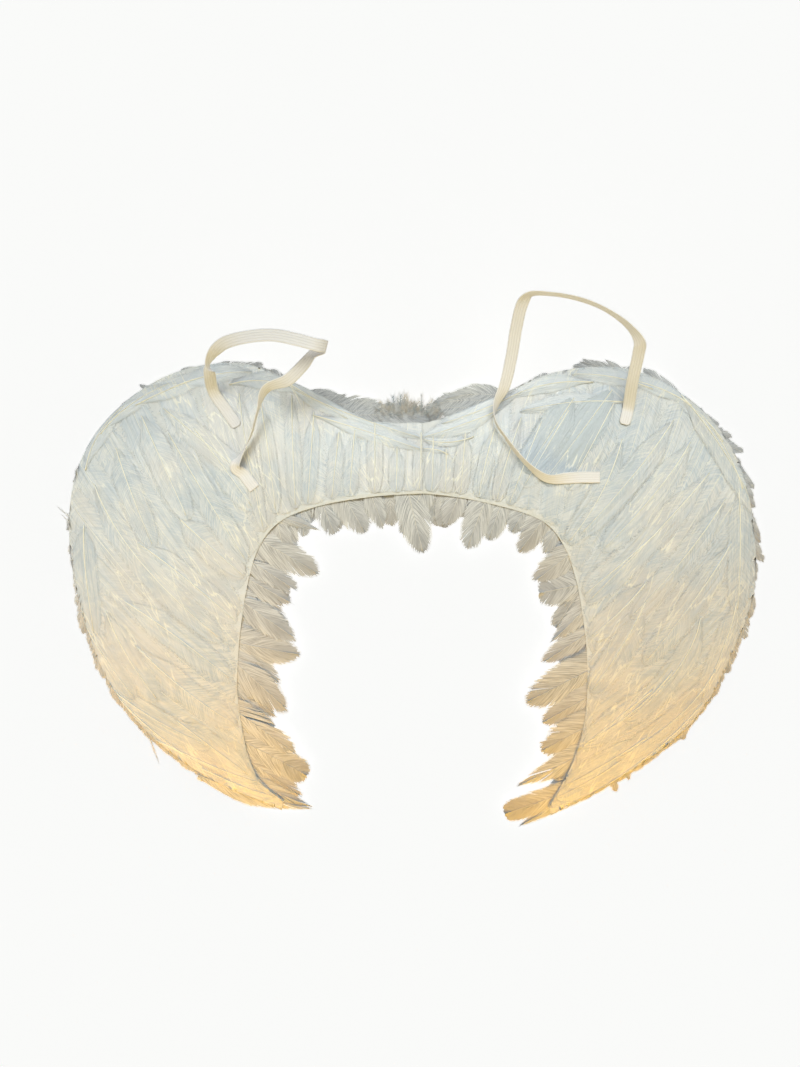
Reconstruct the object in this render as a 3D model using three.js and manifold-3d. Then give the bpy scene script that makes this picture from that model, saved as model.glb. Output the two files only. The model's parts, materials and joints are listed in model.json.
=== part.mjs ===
// Feathered angel wings for a costume, lying face down with the shoulder straps up.
// Millimetres. X runs from the left wing to the right one, Y from the wing tips to the shoulders, Z up.
import * as THREE from "three";
import { mergeVertices } from "three/addons/utils/BufferGeometryUtils.js";
import Module from "manifold-3d";

const wasm = await Module();
wasm.setup();

// Driving dimensions
const span = 602; // across both wings
const depth = 410; // from the shoulders to the lowest feather tip
const sheet = 1.2; // film backing with its glue
const vane = 1.4; // one feather with its down
const vaneLift = 0.6; // every second feather of a row lies this much higher, on its neighbours
const ridge = 0.5; // quill over the vane of a back feather
const rowGap = 0.8; // between two rows, and between a row and the backing
const covertGap = 1.2; // between the middle feathers and the coverts, which curve more
const edgeGap = 0.4; // between the back feathers and the edge feathers over them
const glueGap = 0.3; // the least gap between the sheet and what is glued to it
const bulge = 3.5; // how much higher the wide part of a wing lies than its rim
const bulgeWidth = 170; // from the rim across the bulge
const lapRamp = 80; // over which the left sheet climbs onto the right one
const backWidth = 42;
const edgeWidth = 19;
const flightWidth = 24;
const flightHidden = 62; // of a flight feather under the wing
const middleWidth = 46;
const covertWidth = 44;
const bridgeHidden = 47;
const bandWidth = 15; // tape that joins the feathers of a row
const strapWidth = 10;
const strapThickness = 1.1;
const leftStrapRise = 80;
const rightStrapRise = 58;
const strapGap = 0.4;
const fluffRadius = 17;
const lockThickness = 5.5;

const rowHeight = vane + vaneLift;
const rowPitch = rowHeight + rowGap;
const covertDepth = 2 * rowPitch + covertGap + rowHeight; // from the sheet down to the coverts' underside
const rimHeight = covertDepth; // the sheet's underside over the floor at the rim
const fluffHeight = rimHeight - glueGap; // from the floor to the sheet
const backTop = sheet + rowGap + rowHeight + ridge;

// Each wing in sections from the middle to the tip. A row has the section's end on the leading edge
// and its end on the inner edge. X is a share of half the span, Y a share of the depth.
const leftSections = [
  { outX: 0.034, outY: 0.862, inX: 0.034, inY: 0.712 },
  { outX: -0.112, outY: 0.865, inX: -0.112, inY: 0.705 },
  { outX: -0.285, outY: 0.93, inX: -0.277, inY: 0.683 },
  { outX: -0.493, outY: 0.988, inX: -0.378, inY: 0.652 },
  { outX: -0.704, outY: 0.962, inX: -0.435, inY: 0.603 },
  { outX: -0.878, outY: 0.868, inX: -0.467, inY: 0.533 },
  { outX: -0.965, outY: 0.757, inX: -0.484, inY: 0.461 },
  { outX: -0.985, outY: 0.613, inX: -0.496, inY: 0.381 },
  { outX: -0.95, outY: 0.468, inX: -0.499, inY: 0.296 },
  { outX: -0.874, outY: 0.318, inX: -0.487, inY: 0.222 },
  { outX: -0.745, outY: 0.197, inX: -0.467, inY: 0.154 },
  { outX: -0.574, outY: 0.107, inX: -0.433, inY: 0.104 },
  { outX: -0.372, outY: 0.043, inX: -0.366, inY: 0.062 },
];
const rightSections = [
  { outX: -0.112, outY: 0.865, inX: -0.112, inY: 0.712 },
  { outX: 0.037, outY: 0.862, inX: 0.037, inY: 0.712 },
  { outX: 0.228, outY: 0.913, inX: 0.219, inY: 0.692 },
  { outX: 0.43, outY: 0.972, inX: 0.386, inY: 0.65 },
  { outX: 0.646, outY: 0.973, inX: 0.444, inY: 0.597 },
  { outX: 0.829, outY: 0.896, inX: 0.476, inY: 0.529 },
  { outX: 0.938, outY: 0.789, inX: 0.493, inY: 0.461 },
  { outX: 0.985, outY: 0.656, inX: 0.505, inY: 0.381 },
  { outX: 0.99, outY: 0.508, inX: 0.507, inY: 0.301 },
  { outX: 0.928, outY: 0.379, inX: 0.499, inY: 0.229 },
  { outX: 0.828, outY: 0.243, inX: 0.476, inY: 0.165 },
  { outX: 0.655, outY: 0.136, inX: 0.447, inY: 0.114 },
  { outX: 0.405, outY: 0.032, inX: 0.395, inY: 0.05 },
];

// The tips that show past the inner edge: where each leaves the edge and where it ends.
const leftTips = [
  { baseX: -0.369, baseY: 0.656, tipX: -0.265, tipY: 0.633, wide: 0.6 },
  { baseX: -0.441, baseY: 0.614, tipX: -0.262, tipY: 0.54, wide: 1 },
  { baseX: -0.464, baseY: 0.567, tipX: -0.326, tipY: 0.508, wide: 0.8 },
  { baseX: -0.476, baseY: 0.533, tipX: -0.332, tipY: 0.474, wide: 0.8 },
  { baseX: -0.487, baseY: 0.487, tipX: -0.326, tipY: 0.402, wide: 0.9 },
  { baseX: -0.499, baseY: 0.402, tipX: -0.314, tipY: 0.37, wide: 1 },
  { baseX: -0.499, baseY: 0.349, tipX: -0.349, tipY: 0.25, wide: 1.1 },
  { baseX: -0.499, baseY: 0.296, tipX: -0.43, tipY: 0.229, wide: 0.6 },
  { baseX: -0.487, baseY: 0.243, tipX: -0.332, tipY: 0.157, wide: 0.8 },
  { baseX: -0.47, baseY: 0.18, tipX: -0.294, tipY: 0.11, wide: 0.9 },
  { baseX: -0.441, baseY: 0.1, tipX: -0.283, tipY: 0.049, wide: 0.7 },
];
const rightTips = [
  { baseX: 0.381, baseY: 0.66, tipX: 0.309, tipY: 0.586, wide: 0.95 },
  { baseX: 0.418, baseY: 0.629, tipX: 0.381, tipY: 0.58, wide: 0.7 },
  { baseX: 0.458, baseY: 0.588, tipX: 0.352, tipY: 0.523, wide: 0.95 },
  { baseX: 0.482, baseY: 0.517, tipX: 0.363, tipY: 0.5, wide: 0.95 },
  { baseX: 0.496, baseY: 0.466, tipX: 0.398, tipY: 0.394, wide: 0.8 },
  { baseX: 0.496, baseY: 0.411, tipX: 0.375, tipY: 0.351, wide: 0.75 },
  { baseX: 0.505, baseY: 0.334, tipX: 0.326, tipY: 0.269, wide: 1.25 },
  { baseX: 0.499, baseY: 0.271, tipX: 0.375, tipY: 0.224, wide: 0.8 },
  { baseX: 0.487, baseY: 0.207, tipX: 0.372, tipY: 0.165, wide: 1 },
  { baseX: 0.464, baseY: 0.148, tipX: 0.303, tipY: 0.089, wide: 0.95 },
  { baseX: 0.418, baseY: 0.072, tipX: 0.265, tipY: 0.032, wide: 0.8 },
  { baseX: 0.43, baseY: 0.05, tipX: 0.306, tipY: 0.004, wide: 0.6 },
];
const bridgeTips = [
  { baseX: -0.216, baseY: 0.699, tipX: -0.216, tipY: 0.62, wide: 1.05 },
  { baseX: -0.15, baseY: 0.699, tipX: -0.141, tipY: 0.627, wide: 1.05 },
  { baseX: -0.078, baseY: 0.703, tipX: -0.078, tipY: 0.639, wide: 0.7 },
  { baseX: -0.02, baseY: 0.703, tipX: -0.023, tipY: 0.622, wide: 0.8 },
  { baseX: 0.04, baseY: 0.703, tipX: 0.035, tipY: 0.582, wide: 0.95 },
  { baseX: 0.101, baseY: 0.703, tipX: 0.101, tipY: 0.639, wide: 0.75 },
  { baseX: 0.164, baseY: 0.699, tipX: 0.153, tipY: 0.593, wide: 0.9 },
  { baseX: 0.228, baseY: 0.694, tipX: 0.219, tipY: 0.61, wide: 0.8 },
  { baseX: 0.288, baseY: 0.685, tipX: 0.277, tipY: 0.628, wide: 0.7 },
  { baseX: -0.2, baseY: 0.889, tipX: -0.207, tipY: 0.922, wide: 0.8 },
  { baseX: -0.125, baseY: 0.857, tipX: -0.141, tipY: 0.898, wide: 1 },
];
const bridgeBand = [
  { x: -0.24, y: 0.79 },
  { x: -0.1, y: 0.785 },
  { x: 0.1, y: 0.785 },
  { x: 0.3, y: 0.78 },
];

// Outlines of a feather as shares of its length and of its width: one with a round tip and one that is
// trimmed with the sheet.
const roundShape = [
  { at: 0, wide: 0.3 },
  { at: 0.45, wide: 1 },
  { at: 0.86, wide: 0.86 },
  { at: 1, wide: 0.3 },
];
const cutShape = [
  { at: 0, wide: 0.75 },
  { at: 0.3, wide: 0.95 },
  { at: 0.65, wide: 1 },
  { at: 1, wide: 1 },
];

// The rows of feathers that follow a wing. A feather goes from a root section and a share across the
// wing to a tip share, and leans towards the wing tip by some sections on the way.
const backRow = { from: 0.25, to: 11, count: 14, root: 0.03, tip: 1.04, lean: 1.3, shape: cutShape };
const middleRow = { from: 1.6, to: 9.5, count: 12, root: 0.26, tip: 0.9, lean: 0.8, shape: roundShape };
const covertRow = { from: 1.6, to: 10.5, count: 16, root: 0.005, tip: 0.46, lean: 0.55, shape: roundShape };
const edgeRow = { from: 1.15, to: 4.9, count: 5, root: 0.13, tip: 0.08, lean: 1.15, shape: roundShape };
const flightTape = { from: 2.6, to: 11.4, across: 0.78 };
const edgeTape = { from: 1.45, to: 5.5, across: 0.1 };
const earlyLean = 0.6; // how much faster a feather leans at its root than on the whole
const lateReach = 0.3; // how much slower it crosses the wing there
const rowSamples = 120; // along a row, to space its feathers evenly

// Shoulder straps. X is a share of half the span, Y of the depth, up of the strap's rise over the wing.
// Bearing and tilt give the direction across the webbing in degrees: round from +X, and up.
const leftStrapRoute = [
  { x: -0.497, y: 0.853, up: 0, bearing: 36, tilt: 0 },
  { x: -0.514, y: 0.871, up: 0, bearing: 36, tilt: 0 },
  { x: -0.531, y: 0.889, up: 0, bearing: 36, tilt: 0 },
  { x: -0.561, y: 0.921, up: 0.035, bearing: 30, tilt: 10 },
  { x: -0.559, y: 0.949, up: 0.275, bearing: 40, tilt: 50 },
  { x: -0.539, y: 0.973, up: 0.55, bearing: 80, tilt: 80 },
  { x: -0.493, y: 0.991, up: 0.775, bearing: 125, tilt: 20 },
  { x: -0.427, y: 0.998, up: 0.9, bearing: 98, tilt: 0 },
  { x: -0.356, y: 0.999, up: 0.96, bearing: 90, tilt: 0 },
  { x: -0.289, y: 0.988, up: 1, bearing: 80, tilt: 0 },
  { x: -0.244, y: 0.979, up: 1, bearing: 76, tilt: 0 },
  { x: -0.221, y: 0.98, up: 0.88, bearing: 75, tilt: 0 },
  { x: -0.255, y: 0.976, up: 0.75, bearing: 80, tilt: 0 },
  { x: -0.287, y: 0.956, up: 0.65, bearing: 120, tilt: 0 },
  { x: -0.333, y: 0.93, up: 0.55, bearing: 125, tilt: 20 },
  { x: -0.395, y: 0.917, up: 0.425, bearing: 135, tilt: 60 },
  { x: -0.424, y: 0.882, up: 0.275, bearing: 20, tilt: 86 },
  { x: -0.452, y: 0.831, up: 0.14, bearing: 0, tilt: 84 },
  { x: -0.486, y: 0.784, up: 0.095, bearing: 10, tilt: 55 },
  { x: -0.5, y: 0.765, up: 0.04, bearing: 30, tilt: 15 },
  { x: -0.479, y: 0.752, up: 0, bearing: 34, tilt: 0 },
  { x: -0.464, y: 0.737, up: 0, bearing: 34, tilt: 0 },
  { x: -0.448, y: 0.722, up: 0, bearing: 34, tilt: 0 },
];
const rightStrapRoute = [
  { x: 0.611, y: 0.857, up: 0, bearing: -15, tilt: 0 },
  { x: 0.617, y: 0.873, up: 0, bearing: -15, tilt: 0 },
  { x: 0.622, y: 0.889, up: 0, bearing: -15, tilt: 0 },
  { x: 0.614, y: 0.939, up: 0.38, bearing: -10, tilt: 0 },
  { x: 0.611, y: 0.984, up: 0.72, bearing: -6, tilt: 5 },
  { x: 0.606, y: 1.001, up: 0.86, bearing: 10, tilt: 45 },
  { x: 0.578, y: 1.026, up: 0.93, bearing: 60, tilt: 80 },
  { x: 0.523, y: 1.055, up: 0.97, bearing: 0, tilt: 90 },
  { x: 0.451, y: 1.077, up: 1, bearing: 0, tilt: 90 },
  { x: 0.37, y: 1.089, up: 1, bearing: 0, tilt: 90 },
  { x: 0.308, y: 1.089, up: 0.98, bearing: 165, tilt: 60 },
  { x: 0.294, y: 1.077, up: 0.86, bearing: 165, tilt: 12 },
  { x: 0.284, y: 1.04, up: 0.66, bearing: 168, tilt: 0 },
  { x: 0.276, y: 0.987, up: 0.45, bearing: 169, tilt: 0 },
  { x: 0.261, y: 0.931, up: 0.28, bearing: 165, tilt: 15 },
  { x: 0.241, y: 0.897, up: 0.17, bearing: 160, tilt: 55 },
  { x: 0.237, y: 0.867, up: 0.125, bearing: 160, tilt: 85 },
  { x: 0.273, y: 0.822, up: 0.12, bearing: 40, tilt: 86 },
  { x: 0.33, y: 0.772, up: 0.11, bearing: 50, tilt: 78 },
  { x: 0.387, y: 0.743, up: 0.08, bearing: 75, tilt: 50 },
  { x: 0.446, y: 0.744, up: 0.03, bearing: 88, tilt: 15 },
  { x: 0.485, y: 0.746, up: 0, bearing: 90, tilt: 0 },
  { x: 0.513, y: 0.746, up: 0, bearing: 90, tilt: 0 },
  { x: 0.541, y: 0.746, up: 0, bearing: 90, tilt: 0 },
];

// The down tuft: the bearing of each lock from +X and how far it reaches past the tuft's middle.
const fluffPlace = { x: -0.014, y: 0.857 };
const fluffLocks = [
  { bearing: 152, reach: 21, lift: 3 },
  { bearing: 128, reach: 23, lift: 5 },
  { bearing: 112, reach: 27, lift: 3 },
  { bearing: 97, reach: 21, lift: 6 },
  { bearing: 84, reach: 24, lift: 4 },
  { bearing: 66, reach: 22, lift: 6 },
  { bearing: 50, reach: 25, lift: 3 },
  { bearing: 30, reach: 20, lift: 4 },
];

const { clamp, degToRad, lerp, smoothstep } = THREE.MathUtils;
const place = (x, y) => new THREE.Vector3((x * span) / 2, y * depth, 0);

// A solid from points and triangles, turned round where its faces point in.
function closedBody(points, faces) {
  let volume = 0;
  for (let i = 0; i < faces.length; i += 3) {
    const [a, b, c] = [points[faces[i]], points[faces[i + 1]], points[faces[i + 2]]];
    volume += a.dot(b.clone().cross(c));
  }
  const triVerts = new Uint32Array(volume < 0 ? faces.toReversed() : faces);
  const vertProperties = new Float32Array(points.flatMap((point) => point.toArray()));
  return new wasm.Manifold(new wasm.Mesh({ numProp: 3, vertProperties, triVerts }));
}

// A body between two grids of points, an upper one and a lower one.
function slab(upper, lower) {
  const rows = upper.length;
  const columns = upper[0].length;
  const index = (layer, row, column) => (layer * rows + row) * columns + column;
  const faces = [];
  const quad = (a, b, c, d) => faces.push(a, b, c, a, c, d);
  for (let r = 0; r < rows - 1; r++) {
    for (let c = 0; c < columns - 1; c++) {
      quad(index(0, r, c), index(0, r, c + 1), index(0, r + 1, c + 1), index(0, r + 1, c));
      quad(index(1, r, c), index(1, r + 1, c), index(1, r + 1, c + 1), index(1, r, c + 1));
    }
    quad(index(0, r, 0), index(0, r + 1, 0), index(1, r + 1, 0), index(1, r, 0));
    const end = columns - 1;
    quad(index(0, r, end), index(1, r, end), index(1, r + 1, end), index(0, r + 1, end));
  }
  for (let c = 0; c < columns - 1; c++) {
    const end = rows - 1;
    quad(index(0, 0, c), index(1, 0, c), index(1, 0, c + 1), index(0, 0, c + 1));
    quad(index(0, end, c), index(0, end, c + 1), index(1, end, c + 1), index(1, end, c));
  }
  return closedBody([...upper.flat(), ...lower.flat()], faces);
}

// The edges of a wing as curves, and the point at a section and a share across the wing.
function wingShape(sections) {
  const edge = (x, y) => new THREE.CatmullRomCurve3(sections.map((row) => place(row[x], row[y])));
  const outer = edge("outX", "outY");
  const inner = edge("inX", "inY");
  const last = sections.length - 1;
  const point = (section, across) => {
    const along = clamp(section / last, 0, 1);
    return outer.getPoint(along).lerp(inner.getPoint(along), across);
  };
  return { outer, point, last };
}

const left = wingShape(leftSections);
const right = wingShape(rightSections);
const rims = [left, right].map((wing) => wing.outer.getPoints(48));

function distanceToRim(x, y) {
  const spot = new THREE.Vector3(x, y, 0);
  const nearest = new THREE.Vector3();
  let least = Infinity;
  for (const rim of rims) {
    for (let i = 0; i < rim.length - 1; i++) {
      new THREE.Line3(rim[i], rim[i + 1]).closestPointToPoint(spot, true, nearest);
      least = Math.min(least, nearest.distanceTo(spot));
    }
  }
  return least;
}

// Height of the backing's underside over the floor.
function heightAt(x, y) {
  const across = Math.min(distanceToRim(x, y) / bulgeWidth, 1);
  return rimHeight + bulge * Math.sin(Math.PI * across);
}

// How much higher the left sheet lies where it laps over the right one.
const lapStart = right.point(0, 0).x;
const leftLap = (x) => (sheet + rowGap) * smoothstep(x, lapStart - lapRamp, lapStart - rowGap);
const noLap = () => 0;

function backing(wing, lap, thickness = sheet) {
  const steps = 2 * wing.last;
  const columns = 4;
  const grid = (over) =>
    Array.from({ length: steps + 1 }, (_, i) =>
      Array.from({ length: columns + 1 }, (_, j) => {
        const point = wing.point((i * wing.last) / steps, j / columns);
        return point.setZ(heightAt(point.x, point.y) + lap(point.x) + over);
      }),
    );
  return slab(grid(thickness), grid(0));
}

// A feather along a line, whose upper face lies at over(x, y).
function feather(line, shape, width, over, crest = 0) {
  const upper = [];
  const lower = [];
  const columns = crest > 0 ? [-1, 0, 1] : [-1, 1];
  for (const { at, wide } of shape) {
    const middle = line(at);
    const ahead = line(Math.min(at + 0.02, 1)).sub(line(Math.min(at + 0.02, 1) - 0.02));
    const side = new THREE.Vector3(-ahead.y, ahead.x, 0).setLength((width / 2) * wide);
    const across = columns.map((share) => middle.clone().addScaledVector(side, share));
    const top = (p, i) => over(p.x, p.y) + (columns[i] === 0 ? crest : 0);
    upper.push(across.map((p, i) => p.clone().setZ(top(p, i))));
    lower.push(across.map((p) => p.clone().setZ(over(p.x, p.y) - vane)));
  }
  return slab(upper, lower);
}

// The tape that joins a row, along a list of points, within the thickness of its feathers.
function band(points, width, base) {
  const line = new THREE.CatmullRomCurve3(points);
  const steps = 2 * (points.length - 1);
  const rows = Array.from({ length: steps + 1 }, (_, i) => {
    const ahead = line.getTangent(i / steps);
    const side = new THREE.Vector3(-ahead.y, ahead.x, 0).setLength(width / 2);
    return [-1, 1].map((share) => line.getPoint(i / steps).addScaledVector(side, share));
  });
  const cover = vane / 4;
  const grid = (over) => rows.map((row) => row.map((p) => p.clone().setZ(base(p.x, p.y) + over)));
  return slab(grid(rowHeight - cover), grid(cover));
}

// Section numbers of a row's feathers, evenly spaced on the wing at the middle of their length.
function evenSections(wing, row) {
  const across = clamp((row.root + row.tip) / 2, 0.1, 0.4);
  const samples = Array.from({ length: rowSamples + 1 }, (_, i) => lerp(row.from, row.to, i / rowSamples));
  const runs = [0];
  for (let i = 1; i < samples.length; i++) {
    const step = wing.point(samples[i], across).distanceTo(wing.point(samples[i - 1], across));
    runs.push(runs.at(-1) + step);
  }
  return Array.from({ length: row.count }, (_, i) => {
    const run = (runs.at(-1) * i) / (row.count - 1);
    return samples[Math.max(runs.findIndex((value) => value >= run - 1e-6), 0)];
  });
}

const joined = (bodies) => bodies.reduce((whole, body) => whole.add(body));

// A row of feathers that follows a wing, its underside at base(x, y).
function wingRow(wing, row, width, base, crest) {
  const feathers = evenSections(wing, row).map((from, i) => {
    const lean = row.lean * smoothstep(from, 2, 6.5);
    const line = (t) => {
      const section = from + lean * t * (1 + earlyLean * (1 - t));
      return wing.point(section, lerp(row.root, row.tip, t * (1 - lateReach * (1 - t))));
    };
    const level = i % 2 ? vane : rowHeight;
    return feather(line, row.shape, width, (x, y) => base(x, y) + level, crest);
  });
  return joined(feathers);
}

function bandOf(wing, tape, base) {
  const { from, to, across } = tape;
  const steps = Math.ceil(to - from) + 1;
  const points = Array.from({ length: steps + 1 }, (_, i) => wing.point(lerp(from, to, i / steps), across));
  return band(points, bandWidth, base);
}

// The upright prism over a wing's sheet, which trims what is glued to it.
function trimPrism(wing) {
  const steps = 2 * wing.last;
  const along = Array.from({ length: steps + 1 }, (_, i) => (i * wing.last) / steps);
  const outline = [
    ...along.map((section) => wing.point(section, 0)),
    ...along.toReversed().map((section) => wing.point(section, 1)),
  ];
  const height = rimHeight + bulge + 3 * backTop;
  const prism = new THREE.ExtrudeGeometry(
    new THREE.Shape(outline.map((p) => new THREE.Vector2(p.x, p.y))),
    { depth: height, bevelEnabled: false },
  );
  return bodyOf(prism);
}

function bodyOf(geometry) {
  geometry.deleteAttribute("normal");
  geometry.deleteAttribute("uv");
  const merged = mergeVertices(geometry, 1e-4);
  const vertProperties = merged.attributes.position.array;
  const triVerts = new Uint32Array(merged.index.array);
  return new wasm.Manifold(new wasm.Mesh({ numProp: 3, vertProperties, triVerts }));
}

const above = (over, lap) => (x, y) => heightAt(x, y) + lap(x) + over;
const below = (under) => (x, y) => heightAt(x, y) - under;

function backFeathers(wing, row, lap) {
  const base = above(sheet + rowGap, lap);
  return wingRow(wing, row, backWidth, base, ridge)
    .intersect(trimPrism(wing))
    .subtract(backing(wing, lap, sheet + glueGap));
}

// The feathers along the leading edge run with it, so each one's line goes from section to section.
function edgeFeathers(wing, lap) {
  const row = edgeRow;
  const base = above(backTop + edgeGap, lap);
  const feathers = evenSections(wing, row).map((from, i) => {
    const line = (t) => wing.point(from + row.lean * t, lerp(row.root, row.tip, t));
    const level = i % 2 ? vane : rowHeight;
    return feather(line, row.shape, edgeWidth, (x, y) => base(x, y) + level, ridge);
  });
  const tape = Array.from({ length: row.count + 1 }, (_, i) =>
    wing.point(lerp(edgeTape.from, edgeTape.to, i / row.count), edgeTape.across),
  );
  return joined([...feathers, band(tape, edgeWidth / 4, base)]).intersect(trimPrism(wing));
}

// Feathers that start under the wing and end where their row of the table says.
function tipRow(tips, hidden, base, tape) {
  const feathers = tips.map((row, i) => {
    const tip = place(row.tipX, row.tipY);
    const edge = place(row.baseX, row.baseY);
    const root = edge.clone().sub(tip).setLength(hidden).add(edge);
    const level = i % 2 ? vane : rowHeight;
    const over = (x, y) => base(x, y) + level;
    return feather((t) => root.clone().lerp(tip, t), roundShape, flightWidth * row.wide, over);
  });
  return joined([...feathers, tape]);
}

const flightFeathers = (wing, tips) =>
  tipRow(tips, flightHidden, below(rowPitch), bandOf(wing, flightTape, below(rowPitch)));

const middleFeathers = (wing) => wingRow(wing, middleRow, middleWidth, below(2 * rowPitch));

const covertFeathers = (wing) => wingRow(wing, covertRow, covertWidth, below(covertDepth));

function bridgeFeathers() {
  const base = below(rowPitch);
  const tape = band(bridgeBand.map((row) => place(row.x, row.y)), bandWidth, base);
  return tipRow(bridgeTips, bridgeHidden, base, tape);
}

// The flat head of the tuft with its locks, each a blunt five-sided wisp.
function centreFluff() {
  const middle = place(fluffPlace.x, fluffPlace.y).setZ(fluffHeight / 2);
  const head = new THREE.SphereGeometry(1, 10, 4).rotateX(Math.PI / 2);
  head.scale(fluffRadius, fluffRadius, fluffHeight / 2).translate(...middle.toArray());
  const locks = fluffLocks.map((row) => {
    const turn = degToRad(row.bearing);
    const reach = new THREE.Vector3(Math.cos(turn), Math.sin(turn), 0).multiplyScalar(row.reach);
    const bend = middle.clone().addScaledVector(reach, 0.6);
    const end = middle.clone().add(reach).add(new THREE.Vector3(0, 0, row.lift));
    const path = new THREE.QuadraticBezierCurve3(middle, bend, end);
    return loft([0, 0.5, 0.85, 1], path, (t) => {
      const size = (lockThickness / 2) * Math.sqrt(1.02 - t * t);
      return [size, size];
    });
  });
  return joined([bodyOf(head), ...locks]);
}

// A body along a path from five-sided sections whose half width and half height sizeAt gives.
function loft(stations, path, sizeAt) {
  const sides = 5;
  const rings = stations.map((t) => {
    const ahead = path.getTangent(t);
    const side = new THREE.Vector3(-ahead.y, ahead.x, 0).normalize();
    const up = ahead.clone().cross(side).negate();
    const [wide, high] = sizeAt(t);
    return Array.from({ length: sides }, (_, i) => {
      const turn = (2 * Math.PI * i) / sides;
      return path
        .getPoint(t)
        .addScaledVector(side, wide * Math.cos(turn))
        .addScaledVector(up, high * Math.sin(turn));
    });
  });
  return tubeBody(rings);
}

// A body from rings of points, closed with a fan at each end.
function tubeBody(rings) {
  const sides = rings[0].length;
  const faces = [];
  for (let r = 0; r < rings.length - 1; r++) {
    for (let i = 0; i < sides; i++) {
      const next = (i + 1) % sides;
      const [a, b, c, d] = [r * sides + i, r * sides + next, (r + 1) * sides + next, (r + 1) * sides + i];
      faces.push(a, b, c, a, c, d);
    }
  }
  const end = (rings.length - 1) * sides;
  for (let i = 1; i < sides - 1; i++) {
    faces.push(0, i + 1, i, end, end + i, end + i + 1);
  }
  return closedBody(rings.flat(), faces);
}

// The twisted webbing of a strap, glued down flat at both ends.
function strap(route, rise) {
  const places = route.map((row) => place(row.x, row.y));
  const restAt = (p) => heightAt(p.x, p.y) + backTop + strapGap + strapThickness / 2;
  const startLevel = restAt(places[0]);
  const endLevel = restAt(places.at(-1));
  const points = places.map((p, i) => {
    const share = smoothstep(i / (route.length - 1), 0.12, 0.88);
    return p.setZ(lerp(startLevel, endLevel, share) + route[i].up * rise);
  });
  const acrosses = route.map(({ bearing, tilt }) => {
    const flat = Math.cos(degToRad(tilt));
    const turn = degToRad(bearing);
    return new THREE.Vector3(flat * Math.cos(turn), flat * Math.sin(turn), Math.sin(degToRad(tilt)));
  });
  const path = new THREE.CatmullRomCurve3(points);
  const acrossPath = new THREE.CatmullRomCurve3(acrosses);
  const steps = 2 * (route.length - 1);
  const rings = Array.from({ length: steps + 1 }, (_, i) => {
    const ahead = path.getTangent(i / steps);
    const across = acrossPath.getPoint(i / steps);
    across.addScaledVector(ahead, -across.dot(ahead)).setLength(strapWidth / 2);
    const out = ahead.clone().cross(across).setLength(strapThickness / 2);
    const corner = (a, b) => path.getPoint(i / steps).addScaledVector(across, a).addScaledVector(out, b);
    return [corner(-1, -1), corner(1, -1), corner(1, 1), corner(-1, 1)];
  });
  return tubeBody(rings);
}

const looks = {
  film: { color: 0xe9ecec, roughness: 0.75, metalness: 0 },
  backVane: { color: 0xdfe3e2, roughness: 0.65, metalness: 0 },
  frontVane: { color: 0xd2cfc9, roughness: 0.7, metalness: 0 },
  down: { color: 0x9c948a, roughness: 0.95, metalness: 0 },
  elastic: { color: 0xf1ebdf, roughness: 0.8, metalness: 0 },
};

function mesh(name, body, look) {
  const { vertProperties, triVerts } = body.getMesh();
  const geometry = new THREE.BufferGeometry();
  geometry.setAttribute("position", new THREE.BufferAttribute(vertProperties, 3));
  geometry.setIndex(new THREE.BufferAttribute(triVerts, 1));
  geometry.computeVertexNormals();
  const made = new THREE.Mesh(geometry, new THREE.MeshStandardMaterial(looks[look]));
  made.name = name;
  return made;
}

const rightBackRow = { ...backRow, from: 1.48, count: 13 };
const wings = new THREE.Group();
wings.add(
  mesh("left_backing", backing(left, leftLap), "film"),
  mesh("right_backing", backing(right, noLap), "film"),
  mesh("left_back_feathers", backFeathers(left, backRow, leftLap), "backVane"),
  mesh("right_back_feathers", backFeathers(right, rightBackRow, noLap), "backVane"),
  mesh("left_edge_feathers", edgeFeathers(left, leftLap), "backVane"),
  mesh("right_edge_feathers", edgeFeathers(right, noLap), "backVane"),
  mesh("left_flight_feathers", flightFeathers(left, leftTips), "frontVane"),
  mesh("right_flight_feathers", flightFeathers(right, rightTips), "frontVane"),
  mesh("left_middle_feathers", middleFeathers(left), "frontVane"),
  mesh("right_middle_feathers", middleFeathers(right), "frontVane"),
  mesh("left_covert_feathers", covertFeathers(left), "frontVane"),
  mesh("right_covert_feathers", covertFeathers(right), "frontVane"),
  mesh("bridge_feathers", bridgeFeathers(), "frontVane"),
  mesh("centre_fluff", centreFluff(), "down"),
  mesh("left_strap", strap(leftStrapRoute, leftStrapRise), "elastic"),
  mesh("right_strap", strap(rightStrapRoute, rightStrapRise), "elastic"),
);

// The part's origin is on the floor, under the middle of its box.
const box = new THREE.Box3().setFromObject(wings);
const middle = box.getCenter(new THREE.Vector3());
wings.position.set(-middle.x, -middle.y, -box.min.z);

const part = new THREE.Group();
part.add(wings);
export default part;
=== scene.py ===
import json
import math

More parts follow.
